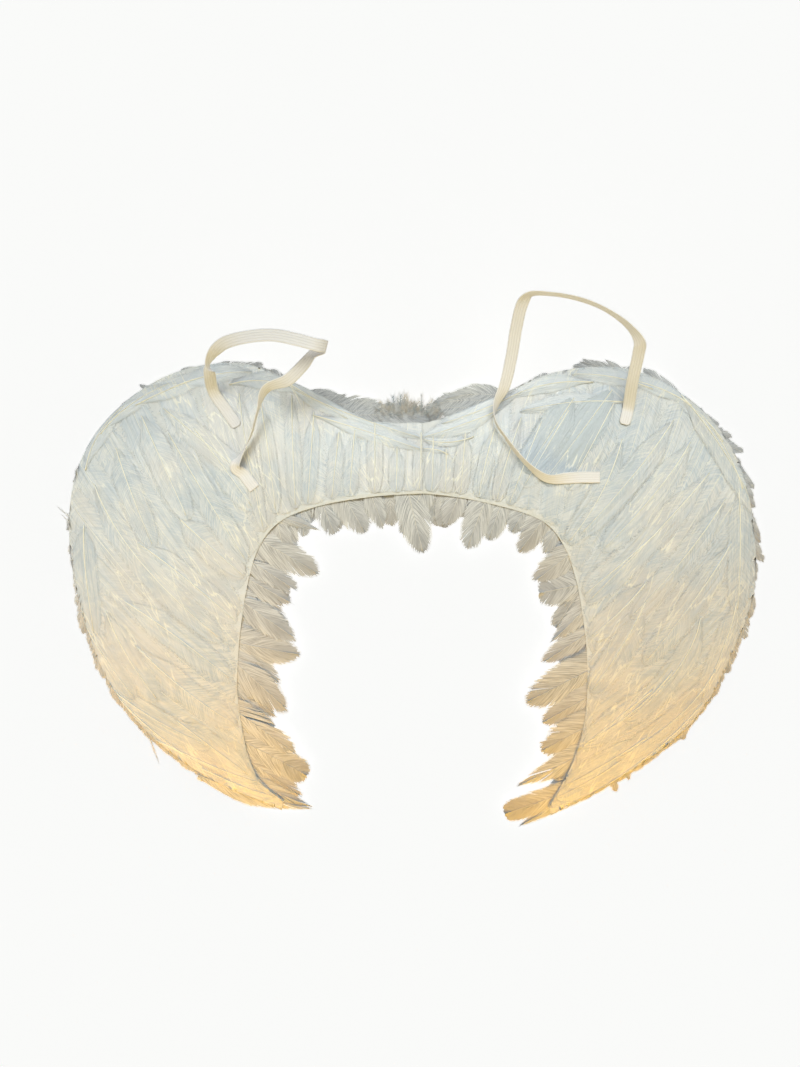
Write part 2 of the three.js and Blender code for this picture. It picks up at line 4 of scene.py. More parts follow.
import bmesh
import bpy
import numpy as np
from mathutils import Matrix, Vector

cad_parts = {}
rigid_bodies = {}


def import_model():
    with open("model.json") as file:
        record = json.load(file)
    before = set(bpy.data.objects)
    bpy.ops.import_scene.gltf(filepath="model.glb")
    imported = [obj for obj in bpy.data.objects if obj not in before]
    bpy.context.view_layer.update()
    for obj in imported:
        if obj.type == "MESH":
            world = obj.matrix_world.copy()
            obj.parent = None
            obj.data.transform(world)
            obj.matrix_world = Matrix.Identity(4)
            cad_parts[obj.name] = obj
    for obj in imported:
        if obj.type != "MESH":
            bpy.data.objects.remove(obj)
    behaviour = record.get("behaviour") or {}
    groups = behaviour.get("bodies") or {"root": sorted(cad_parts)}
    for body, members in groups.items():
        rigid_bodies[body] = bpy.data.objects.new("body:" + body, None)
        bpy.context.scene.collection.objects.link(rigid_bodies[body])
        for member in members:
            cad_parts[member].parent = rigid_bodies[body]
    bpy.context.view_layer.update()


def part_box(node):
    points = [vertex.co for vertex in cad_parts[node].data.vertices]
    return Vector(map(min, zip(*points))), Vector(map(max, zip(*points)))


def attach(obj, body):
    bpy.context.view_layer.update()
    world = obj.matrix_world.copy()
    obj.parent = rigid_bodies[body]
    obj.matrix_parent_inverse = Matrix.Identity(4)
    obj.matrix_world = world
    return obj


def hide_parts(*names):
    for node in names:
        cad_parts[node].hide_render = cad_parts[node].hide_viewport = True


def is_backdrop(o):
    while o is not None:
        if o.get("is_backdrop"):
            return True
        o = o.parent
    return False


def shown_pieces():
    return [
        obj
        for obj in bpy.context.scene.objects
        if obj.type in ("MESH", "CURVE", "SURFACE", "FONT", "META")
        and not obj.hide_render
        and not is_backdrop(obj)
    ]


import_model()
millimetre = 0.001

# Feathered angel wings, lying face down with the shoulder straps up. Metres, in the frame of the solids.
photo = {
    "middleX": 400,  # of the picture, in its pixels
    "middleY": 533.5,
    "lookX": -0.0111,  # the spot on the wings under the picture's middle
    "lookY": 0.0335,
    "perPixel": 0.000868,  # metres on the wings for each pixel
    "cameraHeight": 0.706,
    "lens": 27.05,
}


def onWings(x, y):  # a pixel of the photograph as a place on the wings
    across = photo["lookX"] + (x - photo["middleX"]) * photo["perPixel"]
    return np.array([across, photo["lookY"] + (photo["middleY"] - y) * photo["perPixel"], 0])


# The camera
cameraData = bpy.data.cameras.new("camera")
cameraData.lens = photo["lens"]
cameraData.clip_start = 0.01
camera = bpy.data.objects.new("camera", cameraData)
camera.location = (photo["lookX"], photo["lookY"], photo["cameraHeight"])
bpy.context.scene.collection.objects.link(camera)
bpy.context.scene.camera = camera
print("camera placed")


# Sockets as values: an expression adds the nodes that work it out
class Wire:
    def __init__(self, web, socket):
        self.web = web
        self.socket = socket
        self.isVector = socket.type == "VECTOR"

    def combine(self, operation, *others):
        isVector = self.isVector or any(isinstance(o, Wire) and o.isVector for o in others)
        kind = "ShaderNodeVectorMath" if isVector else "ShaderNodeMath"
        values = dict(enumerate((self, *others)))
        return self.web.add(kind, {"operation": operation}, values)

    def __add__(self, other):
        return self.combine("ADD", other)

    def __radd__(self, other):
        return self.combine("ADD", other)

    def __sub__(self, other):
        return self.combine("SUBTRACT", other)

    def __rsub__(self, other):
        return self.web.number(other).combine("SUBTRACT", self)

    def __mul__(self, other):
        if self.isVector and not (isinstance(other, Wire) and other.isVector):
            return self.web.add("ShaderNodeVectorMath", {"operation": "SCALE"}, {0: self, "Scale": other})
        return self.combine("MULTIPLY", other)

    def __rmul__(self, other):
        return self * other

    def atLeast(self, other):
        return self.combine("MAXIMUM", other)

    def size(self):
        return self.combine("ABSOLUTE")

    def wave(self):
        return self.combine("SINE")

    def cross(self, other):
        return self.combine("CROSS_PRODUCT", other)

    def unit(self):
        return self.combine("NORMALIZE")

    def part(self, axis):
        return self.web.add("ShaderNodeSeparateXYZ", {}, {0: self}, axis)


class Web:
    def __init__(self, tree):
        self.tree = tree

    def add(self, kind, settings=None, sockets=None, output=0):
        node = self.tree.nodes.new(kind)
        for name, value in (settings or {}).items():
            setattr(node, name, value)
        for name, value in (sockets or {}).items():
            socket = next((s for s in node.inputs if s.identifier == name), None)
            socket = socket or node.inputs[name]
            if isinstance(value, Wire):
                self.tree.links.new(value.socket, socket)
            else:
                socket.default_value = value
        outputs = [s for s in node.outputs if s.enabled] or node.outputs
        found = node.outputs[output] if isinstance(output, str) else outputs[output]
        return Wire(self, found)

    def number(self, value):
        return self.add("ShaderNodeMath", {"operation": "ADD"}, {0: value, 1: 0})

    def vector(self, x, y, z):
        return self.add("ShaderNodeCombineXYZ", {}, {"X": x, "Y": y, "Z": z})

    def noise(self, place, scale, detail=2, roughness=0.5, distortion=0):
        values = {"Vector": place, "Scale": scale, "Detail": detail}
        values.update({"Roughness": roughness, "Distortion": distortion})
        return self.add("ShaderNodeTexNoise", {}, values)

    def blend(self, factor, a, b):
        settings = {"data_type": "RGBA"}
        return self.add("ShaderNodeMix", settings, {"Factor_Float": factor, "A_Color": a, "B_Color": b})

    def spread(self, value, low, high):  # low to high becomes 0 to 1, with soft ends
        settings = {"interpolation_type": "SMOOTHSTEP"}
        return self.add("ShaderNodeMapRange", settings, {"Value": value, "From Min": low, "From Max": high})

    def attribute(self, name, output="Fac"):
        return self.add("ShaderNodeAttribute", {"attribute_name": name}, {}, output)


def rgb(*parts):
    return (*parts, 1)


# Curves and the outline of the wings
def curvePoint(points, t):  # on a smooth curve through the points, at a share of its spans
    last = len(points) - 1
    place = min(max(t, 0), 1) * last
    i = min(int(place), last - 1)
    w = place - i
    b, c = points[i], points[i + 1]
    a = points[i - 1] if i > 0 else 2 * b - c
    d = points[i + 2] if i + 2 <= last else 2 * c - b
    first, mid, end = (math.sqrt(np.linalg.norm(q - p)) for p, q in ((a, b), (b, c), (c, d)))
    mid = mid if mid > 1e-4 else 1
    first = first if first > 1e-4 else mid
    end = end if end > 1e-4 else mid
    leave = ((b - a) / first - (c - a) / (first + mid) + (c - b) / mid) * mid
    arrive = ((c - b) / mid - (d - b) / (mid + end) + (d - c) / end) * mid
    bendTwo = 3 * (c - b) - 2 * leave - arrive
    bendThree = 2 * (b - c) + leave + arrive
    return b + w * (leave + w * (bendTwo + w * bendThree))


def curveAhead(points, t):
    step = 1e-4
    ahead = curvePoint(points, t + step) - curvePoint(points, t - step)
    return ahead / np.linalg.norm(ahead)


def smoothShare(value, low, high):
    t = min(max((value - low) / (high - low), 0), 1)
    return t * t * (3 - 2 * t)


wings = {
    "span": 0.602,
    "depth": 0.410,
    "film": 0.0012,  # thickness of a backing
    "thinned": 0.0009,  # less at its inner edge
    "bulge": 0.0035,
    "bulgeWidth": 0.170,
    "lapRise": 0.0014,
    "lapRamp": 0.080,
    "rowsPerSection": 12,
    "columns": 28,
    "sharpAngle": 30,
    "rimHeight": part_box("right_backing")[0].z,
}

# Sections of each wing from the middle to the tip: outer X and Y, inner X and Y, as shares of half the
# span and of the depth.
leftSections = [
    (0.034, 0.862, 0.034, 0.712),
    (-0.112, 0.865, -0.112, 0.705),
    (-0.285, 0.93, -0.277, 0.683),
    (-0.493, 0.988, -0.378, 0.652),
    (-0.704, 0.962, -0.435, 0.603),
    (-0.878, 0.868, -0.467, 0.533),
    (-0.965, 0.757, -0.484, 0.461),
    (-0.985, 0.613, -0.496, 0.381),
    (-0.95, 0.468, -0.499, 0.296),
    (-0.874, 0.318, -0.487, 0.222),
    (-0.745, 0.197, -0.467, 0.154),
    (-0.574, 0.107, -0.433, 0.104),
    (-0.372, 0.043, -0.366, 0.062),
]
rightSections = [
    (-0.112, 0.865, -0.112, 0.712),
    (0.037, 0.862, 0.037, 0.712),
    (0.228, 0.913, 0.219, 0.692),
    (0.43, 0.972, 0.386, 0.65),
    (0.646, 0.973, 0.444, 0.597),
    (0.829, 0.896, 0.476, 0.529),
    (0.938, 0.789, 0.493, 0.461),
    (0.985, 0.656, 0.505, 0.381),
    (0.99, 0.508, 0.507, 0.301),
    (0.928, 0.379, 0.499, 0.229),
    (0.828, 0.243, 0.476, 0.165),
    (0.655, 0.136, 0.447, 0.114),
    (0.405, 0.032, 0.395, 0.05),
]


def sharePlace(x, y):
    return np.array([x * wings["span"] / 2, y * wings["depth"], 0])


def outlineOf(sections):
    outer = [sharePlace(row[0], row[1]) for row in sections]
    inner = [sharePlace(row[2], row[3]) for row in sections]
    return {"outer": outer, "inner": inner, "last": len(sections) - 1}


left = outlineOf(leftSections)
right = outlineOf(rightSections)

# The solids' origin is under the middle of their box, so the sheets' corner gives the shift
leftEdge = min(curvePoint(left["outer"], i / 24)[0] for i in range(25))
topEdge = max(curvePoint(left["outer"], i / 24)[1] for i in range(25))
sheetLow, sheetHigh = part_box("left_backing")
shift = np.array([sheetLow.x - leftEdge, sheetHigh.y - topEdge, 0])
for wing in (left, right):
    wing["outer"] = [point + shift for point in wing["outer"]]
    wing["inner"] = [point + shift for point in wing["inner"]]
rims = [np.array([curvePoint(wing["outer"], i / 48)[:2] for i in range(49)]) for wing in (left, right)]


def distanceToRim(x, y):
    spot = np.array([x, y])
    least = 1
    for rim in rims:
        start, run = rim[:-1], rim[1:] - rim[:-1]
        share = np.clip(((spot - start) * run).sum(1) / (run * run).sum(1), 0, 1)
        gaps = np.linalg.norm(start + share[:, None] * run - spot, axis=1)
        least = min(least, gaps.min())
    return least


def heightAt(x, y):  # of the sheets' underside
    across = min(distanceToRim(x, y) / wings["bulgeWidth"], 1)
    return wings["rimHeight"] + wings["bulge"] * math.sin(math.pi * across)


def wingPoint(wing, section, across):
    t = section / wing["last"]
    outer, inner = curvePoint(wing["outer"], t), curvePoint(wing["inner"], t)
    return outer + (inner - outer) * across


lapStart = wingPoint(right, 0, 0)[0]


def lapAt(wing, x):
    if wing is right:
        return 0
    return wings["lapRise"] * smoothShare(x, lapStart - wings["lapRamp"], lapStart - 0.4 * wings["lapRise"])


def addObject(name, mesh):
    made = bpy.data.objects.new(name, mesh)
    bpy.context.scene.collection.objects.link(made)
    return made


def meshFrom(name, points, faces, uv=None):
    mesh = bpy.data.meshes.new(name)
    mesh.from_pydata([tuple(p) for p in points], [], faces)
    mesh.shade_smooth()
    if uv is not None:
        layer = mesh.uv_layers.new(name="UVMap")
        corners = np.array([uv[loop.vertex_index] for loop in mesh.loops], np.float32)
        layer.data.foreach_set("uv", corners.ravel())
    mesh.update()
    return mesh


# Finishes
def startFinish(name):
    material = bpy.data.materials.new(name)
    material.use_nodes = True
    web = Web(material.node_tree)
    return material, web, material.node_tree.nodes["Principled BSDF"]


def setSurface(web, surface, values):
    for name, value in values.items():
        if isinstance(value, Wire):
            web.tree.links.new(value.socket, surface.inputs[name])
        else:
            surface.inputs[name].default_value = value


def bumpOf(web, height, distance, strength=1.0):
    values = {"Height": height, "Distance": distance, "Strength": strength}
    return web.add("ShaderNodeBump", {}, values)


def objectPlace(web):
    return web.add("ShaderNodeTexCoord", {}, {}, "Object")


vaneFinishes = {
    "back_vane": {  # glued flat and sealed with film
        "light": rgb(0.77, 0.78, 0.765),
        "dark": rgb(0.53, 0.59, 0.64),
        "pale": 0.0,
        "tipShade": 0.0,
        "cast": rgb(0.76, 0.68, 0.59),
        "castShare": 0.42,
        "castTone": 0.12,  # how much that varies from feather to feather
        # The quills' own cream, brightened as a painted highlight of the raised shafts; the painted
        # highlight lines take this colour too.
        "quill": rgb(0.98, 0.95, 0.82),
        # Strength of the painted highlight lines on the film's folds and creases.
        "gleam": 0.75,
        "haze": 0.8,  # how far the film hides the barbs
        "frayed": 0.77,  # where across the vane its edge begins to thin out
        "teeth": 0.95,
        "soft": 0.06,
        "barbDepth": 0.00010,
        "creaseDepth": 0.0028,
        "roughness": 0.42,
        "coat": 0.4,
    },
    # The feathers under and between the sheets: darker and greyer than the back ones, partly their own grey
    # and partly painted shade; tipShade darkens their tips as painted shade.
    "front_vane": {
        "light": rgb(0.58, 0.585, 0.585),
        "dark": rgb(0.34, 0.345, 0.35),
        "pale": 0.65,  # how much paler a feather is before its last third
        "tipShade": 0.3,
        "cast": rgb(0.45, 0.415, 0.375),
        "castShare": 0.5,
        "castTone": 0.4,
        "quill": rgb(0.80, 0.76, 0.67),
        "gleam": 0.0,
        "haze": 0.0,
        "frayed": 0.80,
        "teeth": 1.0,
        "soft": 0.2,
        "barbDepth": 0.00022,
        "creaseDepth": 0.0003,
        "roughness": 0.6,
        "coat": 0.0,
    },
}
vaneFinishes["edge_vane"] = {  # the same, bluer and more uneven: the cool shade along the top edge painted in, darker blue-grey on some feathers
    **vaneFinishes["back_vane"],
    "light": rgb(0.80, 0.815, 0.82),
    "dark": rgb(0.65, 0.70, 0.74),
    "cast": rgb(0.50, 0.555, 0.59),
    "castShare": 0.9,
    "castTone": 0.85,
}
vaneGrain = {
    "pale": rgb(0.84, 0.83, 0.79),
    "creasesAlong": 9,  # long creases of the film, along and across their run
    "creasesAcross": 62,
    # Width of the painted highlight lines along the long creases.
    "gleamLineWidth": 0.015,
    "sheen": 0.2,
    "coatRoughness": 0.22,
}


def vaneFinish(name):
    finish = vaneFinishes[name]
    material, web, surface = startFinish(name)
    barb, across = web.attribute("barb"), web.attribute("across")
    tone, quill = web.attribute("tone"), web.attribute("quill")
    place = objectPlace(web)
    edge = across.size()
    streak = web.noise(web.vector(barb * 120, edge * 1.6, tone * 57), 1.0, 3, 0.6)
    clump = web.noise(web.vector(barb * 9, edge * 1.2, tone * 31), 1.0, 2)
    cloud = web.noise(place, 15, 3, 0.55)
    crease = web.noise(place, 30, 4, 0.6, 1.1)
    fold = web.noise(web.vector(barb * 3.2, across * 5.5, tone * 83), 1.0, 4, 0.6, 0.6)
    haze = web.spread(web.noise(place, 17, 2), 0.38, 0.60) * finish["haze"]
    shade = web.spread(streak * 0.7 + clump * 0.3, 0.38, 0.62)
    outward = place.part("X").size()  # the long creases run down and inwards, over several feathers
    along = outward * 0.5 + place.part("Y") * 0.85
    aside = outward * 0.85 - place.part("Y") * 0.5
    run = web.vector(along * vaneGrain["creasesAlong"], aside * vaneGrain["creasesAcross"], 0.0)
    pull = web.noise(run, 1.0, 3, 0.55, 0.3)
    # Painted shade of the folds: darker and bluer where the fold relief is low, lighter where it is high.
    foldShade = web.spread(fold * 0.45 + crease * 0.25 + pull * 0.3, 0.40, 0.60)
    foldShade = web.blend(foldShade, finish["dark"], finish["light"])
    colour = web.blend(shade, finish["dark"], finish["light"])
    colour = web.blend(haze, colour, foldShade)
    mixed = cloud * (1 - finish["castTone"]) + tone * finish["castTone"]
    colour = web.blend(web.spread(mixed, 0.40, 0.66) * finish["castShare"], colour, finish["cast"])
    pale = (1 - web.spread(barb, 0.60, 0.86)) * web.spread(streak, 0.38, 0.60) * finish["pale"]
    colour = web.blend(pale, colour, vaneGrain["pale"])
    # Painted shade on the feathers' tips.
    colour = web.blend(web.spread(barb, 0.75, 1.0) * finish["tipShade"], colour, finish["dark"])
    # Painted highlights: thin bright lines on the fold ridges and along the long creases, in the quill
    # colour.
    gleam = 1 - web.spread((fold - 0.5).size(), 0.0, 0.02)
    gleam = gleam * web.spread(crease, 0.46, 0.60)
    creaseGleam = 1 - web.spread((pull - 0.5).size(), 0.0, vaneGrain["gleamLineWidth"])
    gleam = gleam.atLeast(creaseGleam * web.spread(cloud, 0.44, 0.56)) * finish["gleam"]
    colour = web.blend(gleam.atLeast(quill), colour, finish["quill"])
    barbs = bumpOf(web, streak * (1 - haze), finish["barbDepth"])
    relief = crease * 0.4 + fold * 0.4 + pull * 0.5
    folds = {"Height": relief, "Distance": finish["creaseDepth"], "Normal": barbs}
    folds = web.add("ShaderNodeBump", {}, folds)
    past = (edge - finish["frayed"]) * (1 / (1 - finish["frayed"]))
    whole = web.spread(streak, 0.32, 0.68) * finish["teeth"] - past
    whole = web.spread(whole, -finish["soft"], 0.05)
    rough = streak * 0.2 + (finish["roughness"] - 0.1)
    values = {"Base Color": colour, "Roughness": rough, "Normal": folds, "Alpha": whole}
    values.update({"Sheen Weight": vaneGrain["sheen"], "Coat Weight": finish["coat"]})
    values["Coat Roughness"] = vaneGrain["coatRoughness"]
    setSurface(web, surface, values)
    return material


def filmFinish():
    look = {"light": rgb(0.785, 0.79, 0.775), "dark": rgb(0.70, 0.72, 0.715), "crease": 0.0014}
    material, web, surface = startFinish("film")
    place = objectPlace(web)
    fibre = web.noise(web.add("ShaderNodeMapping", {}, {"Vector": place, "Scale": (1, 3, 1)}), 700, 2)
    crease = web.noise(place, 70, 4, 0.6, 1.5)
    # Darker where the crease relief is low: painted shade of the creases, mixed with the fibre's grain.
    colour = web.blend(web.spread(fibre * 0.5 + crease * 0.5, 0.35, 0.65), look["dark"], look["light"])
    folds = bumpOf(web, crease + fibre * 0.1, look["crease"])
    values = {"Base Color": colour, "Roughness": 0.46, "Normal": folds, "Sheen Weight": 0.2}
    setSurface(web, surface, values)
    return material


def downFinish():
    look = {"light": rgb(0.76, 0.71, 0.64), "dark": rgb(0.44, 0.48, 0.51)}
    material, web, surface = startFinish("down")
    tone, across = web.attribute("tone"), web.attribute("across")
    mottle = web.noise(objectPlace(web), 160, 2)
    shade = web.spread(mottle * 0.6 + tone * 0.4 + across.size() * 0.15, 0.3, 0.75)
    colour = web.blend(shade, look["dark"], look["light"])
    setSurface(web, surface, {"Base Color": colour, "Roughness": 0.85, "Sheen Weight": 0.4})
    return material


def elasticFinish():
    look = {"light": rgb(0.94, 0.90, 0.87), "dark": rgb(0.80, 0.76, 0.72), "knit": 0.00012}
    material, web, surface = startFinish("elastic")
    strip = web.add("ShaderNodeTexCoord", {}, {}, "UV")  # along and across the webbing, in millimetres
    along, across = strip.part("X"), strip.part("Y")
    knit = (along * 5.2).wave() * (across * 9.0).wave()
    worn = web.noise(objectPlace(web), 90, 3)
    groove = web.spread((across * (math.pi / 2)).wave().size(), 0.0, 0.5)
    shade = web.spread(groove * 0.65 + worn * 0.5 + knit * 0.08, 0.25, 0.85)
    colour = web.blend(shade, look["dark"], look["light"])
    weave = bumpOf(web, knit * 0.5 + web.noise(strip, 3.0, 2) * 0.6, look["knit"])
    values = {"Base Color": colour, "Roughness": 0.78, "Normal": weave, "Sheen Weight": 0.3}
    setSurface(web, surface, values)
    return material


finishes = {
    "back_vane": vaneFinish("back_vane"),
    "edge_vane": vaneFinish("edge_vane"),
    "front_vane": vaneFinish("front_vane"),
    "film": filmFinish(),
    "down": downFinish(),
    "elastic": elasticFinish(),
}
print("finishes made")


# Backings: two sheets of film that lap in the middle
def makeBacking(name, wing):
    rows, columns = wings["rowsPerSection"] * wing["last"], wings["columns"]
    points, faces = [], []
    for level in (1, 0):
        for i in range(rows + 1):
            section = i * wing["last"] / rows
            breadth = np.linalg.norm(wingPoint(wing, section, 1) - wingPoint(wing, section, 0))
            cut = 1 - (1 - level) * wings["film"] / breadth  # the underside ends short: a thin inner edge
            for j in range(columns + 1):
                point = wingPoint(wing, section, cut * j / columns)
                base = heightAt(point[0], point[1]) + lapAt(wing, point[0])
                thick = wings["film"] - (wings["thinned"] if j == columns else 0)
                points.append((point[0], point[1], base + level * thick))
    below = (rows + 1) * (columns + 1)

    def at(i, j):
        return i * (columns + 1) + j

    for i in range(rows):
        for j in range(columns):
            a, b, c, d = at(i, j), at(i + 1, j), at(i + 1, j + 1), at(i, j + 1)
            faces.append((a, b, c, d))
            faces.append((d + below, c + below, b + below, a + below))
    rim = [at(0, j) for j in range(columns)] + [at(i, columns) for i in range(rows)]
    rim += [at(rows, j) for j in range(columns, 0, -1)] + [at(i, 0) for i in range(rows, 0, -1)]
    for a, b in zip(rim, rim[1:] + rim[:1]):
        faces.append((a, b, b + below, a + below))
    mesh = meshFrom(name, points, faces)
    turnOut(mesh)
    mesh.set_sharp_from_angle(angle=math.radians(wings["sharpAngle"]))
    sheet = addObject(name, mesh)
    mesh.materials.append(finishes["film"])
    return sheet


def turnOut(mesh):  # faces outwards
    work = bmesh.new()
    work.from_mesh(mesh)
    bmesh.ops.recalc_face_normals(work, faces=work.faces)
    work.to_mesh(mesh)
    work.free()
    mesh.update()


leftSheet = makeBacking("left_film", left)
rightSheet = makeBacking("right_film", right)
print("backings made")

# Feather patterns: each is one feather of length 1 along X, its vane from -1 to 1 along Y. Rows of
# feathers are copies of these, laid along their own lines.
patternStyles = {
    "blade": {"count": 5, "stations": 34, "root": 0.25, "widest": 0.35, "shoulder": 0.7, "tip": 2.4,
              "sweep": 0.13, "ragged": 0.02, "splits": 1, "gap": 0.002, "lift": 0.0, "camber": 0.0},
    "round": {"count": 5, "stations": 48, "root": 0.4, "widest": 0.5, "shoulder": 0.62, "tip": 2.0,
              "sweep": 0.26, "ragged": 0.04, "splits": 2, "gap": 0.008, "lift": 0.025, "camber": 0.06},
    "ragged": {"count": 6, "stations": 56, "root": 0.4, "widest": 0.5, "shoulder": 0.6, "tip": 2.2,
               "sweep": 0.28, "ragged": 0.14, "splits": 6, "gap": 0.012, "lift": 0.03, "camber": 0.06},
    "pointed": {"count": 4, "stations": 44, "root": 0.4, "widest": 0.45, "shoulder": 0.5, "tip": 1.25,
                "sweep": 0.26, "ragged": 0.06, "splits": 3, "gap": 0.008, "lift": 0.05, "camber": 0.08},
    "square": {"count": 4, "stations": 48, "root": 0.45, "widest": 0.5, "shoulder": 0.75, "tip": 4.0,
               "sweep": 0.22, "ragged": 0.08, "splits": 4, "gap": 0.008, "lift": 0.03, "camber": 0.05},
    "covert": {"count": 5, "stations": 28, "root": 0.5, "widest": 0.45, "shoulder": 0.55, "tip": 2.0,
               "sweep": 0.24, "ragged": 0.06, "splits": 2, "gap": 0.008, "lift": 0.05, "camber": 0.10},
    "slim": {"count": 4, "stations": 36, "root": 0.2, "widest": 0.45, "shoulder": 0.5, "tip": 1.6,
             "sweep": 0.12, "ragged": 0.03, "splits": 1, "gap": 0.003, "lift": 0.0, "camber": 0.055},
    "broad": {"count": 5, "stations": 34, "root": 0.85, "widest": 0.3, "shoulder": 0.85, "tip": 3.5,
              "sweep": 0.10, "ragged": 0.02, "splits": 1, "gap": 0.002, "lift": 0.0, "camber": 0.0},
}
plumeStyle = {"count": 5, "barbs": 46, "spread": 0.9, "sweep": 0.30, "hair": 0.012}
patterns = bpy.data.collections.new("featherPatterns")
patternNumbers = {}


def vaneWidth(x, style):
    rise = style["root"] + (1 - style["root"]) * smoothShare(x, 0, style["widest"])
    past = max(0.0, (x - style["shoulder"]) / (1 - style["shoulder"]))
    return rise * max(0.0, 1 - past ** style["tip"]) ** (1 / style["tip"])


class Pattern:
    def __init__(self):
        self.points, self.faces, self.barb, self.across, self.quill = [], [], [], [], []

    def point(self, place, barb, across, quill):
        self.points.append(place)
        self.barb.append(barb)
        self.across.append(across)
        self.quill.append(quill)

    def shaft(self, start, end, taper, lowered=0.0):
        sides, rings = 6, 14
        base = len(self.points)
        for i in range(rings + 1):
            t = i / rings
            radius = 1 - taper * t
            for k in range(sides):
                turn = 2 * math.pi * k / sides
                y, z = radius * math.cos(turn), radius * math.sin(turn) + 0.4 - lowered
                self.point((start + (end - start) * t, y, z), t, 0, 1)
        for i in range(rings):
            for k in range(sides):
                a, b = base + i * sides + k, base + i * sides + (k + 1) % sides
                self.faces.append((a, a + sides, b + sides, b))
        for ring in (0, rings):
            fan = [base + ring * sides + k for k in range(sides)]
            self.faces.append(tuple(fan if ring == 0 else fan[::-1]))

    def finish(self, style):
        number = len(patterns.objects)
        name = f"feather{number:02d}"
        mesh = meshFrom(name, self.points, self.faces)
        for key in ("barb", "across", "quill"):
            layer = mesh.attributes.new(key, "FLOAT", "POINT")
            layer.data.foreach_set("value", np.array(getattr(self, key), np.float32))
        patterns.objects.link(bpy.data.objects.new(name, mesh))
        patternNumbers.setdefault(style, []).append(number)


def makeVane(pattern, style, side, dice):
    stations, columns = style["stations"], 4
    cuts = dice.choice(range(4, stations - 3), style["splits"], replace=False)
    cuts = [0, *sorted(int(c) for c in cuts), stations]
    for first, last in zip(cuts[:-1], cuts[1:]):
        if last - first < 2:
            continue
        clumpLift = dice.normal(0, style["lift"])
        clumpShort = 1 - abs(dice.normal(0, style["ragged"]))
        base = len(pattern.points)
        for i in range(first, last + 1):
            b = i / stations
            local = 2 * (i - first) / (last - first) - 1
            startX = 0.97 * b
            endX = min(startX + 0.03 * b + style["sweep"] * math.sin(math.pi * b ** 0.8) ** 0.7, 1)
            width = vaneWidth(endX, style) * clumpShort * (1 - style["ragged"] * 0.6 * dice.random())
            for j in range(columns + 1):
                s = j / columns
                x = startX + (endX - startX) * s ** 1.25 * clumpShort - style["gap"] * local * s ** 3
                z = -style["camber"] * s * s + clumpLift * s * s
                pattern.point((x, side * width * s, z), b, side * s, 0)
        for i in range(last - first):
            for j in range(columns):
                a = base + i * (columns + 1) + j
                ring = (a, a + columns + 1, a + columns + 2, a + 1)
                pattern.faces.append(ring if side < 0 else ring[::-1])


for styleNumber, (styleName, style) in enumerate(patternStyles.items()):
    for copy in range(style["count"]):
        dice = np.random.default_rng(100 * styleNumber + copy)
        pattern = Pattern()
        for side in (-1, 1):
            makeVane(pattern, style, side, dice)
        pattern.shaft(-0.03, 0.96, 0.65)
        pattern.finish(styleName)

for copy in range(plumeStyle["count"]):  # loose down: hair-thin barbs off a fine shaft
    dice = np.random.default_rng(900 + copy)
    pattern = Pattern()
    for side in (-1, 1):
        for i in range(plumeStyle["barbs"]):
            b = i / plumeStyle["barbs"]
            reach = plumeStyle["spread"] * (0.55 + 0.45 * math.sin(math.pi * b)) * dice.uniform(0.6, 1.15)
            ahead = plumeStyle["sweep"] * dice.uniform(0.5, 1.4)
            bend, lift = dice.normal(0, 0.25), dice.normal(0, 0.45)
            base = len(pattern.points)
            for j in range(4):
                s = j / 3
                x = b + ahead * s ** 1.4 * (1 - 0.5 * b)
                y = side * reach * (s + bend * s * s * 0.5) * (1 - 0.55 * b)
                hair = plumeStyle["hair"] * (1 - 0.8 * s)
                pattern.point((x - hair, y, lift * s * s), b, side * s, 0)
                pattern.point((x + hair, y, lift * s * s), b, side * s, 0)
            for j in range(3):
                a = base + 2 * j
                pattern.faces.append((a, a + 1, a + 3, a + 2))
    pattern.shaft(0, 0.95, 0.7)
    pattern.finish("plume")


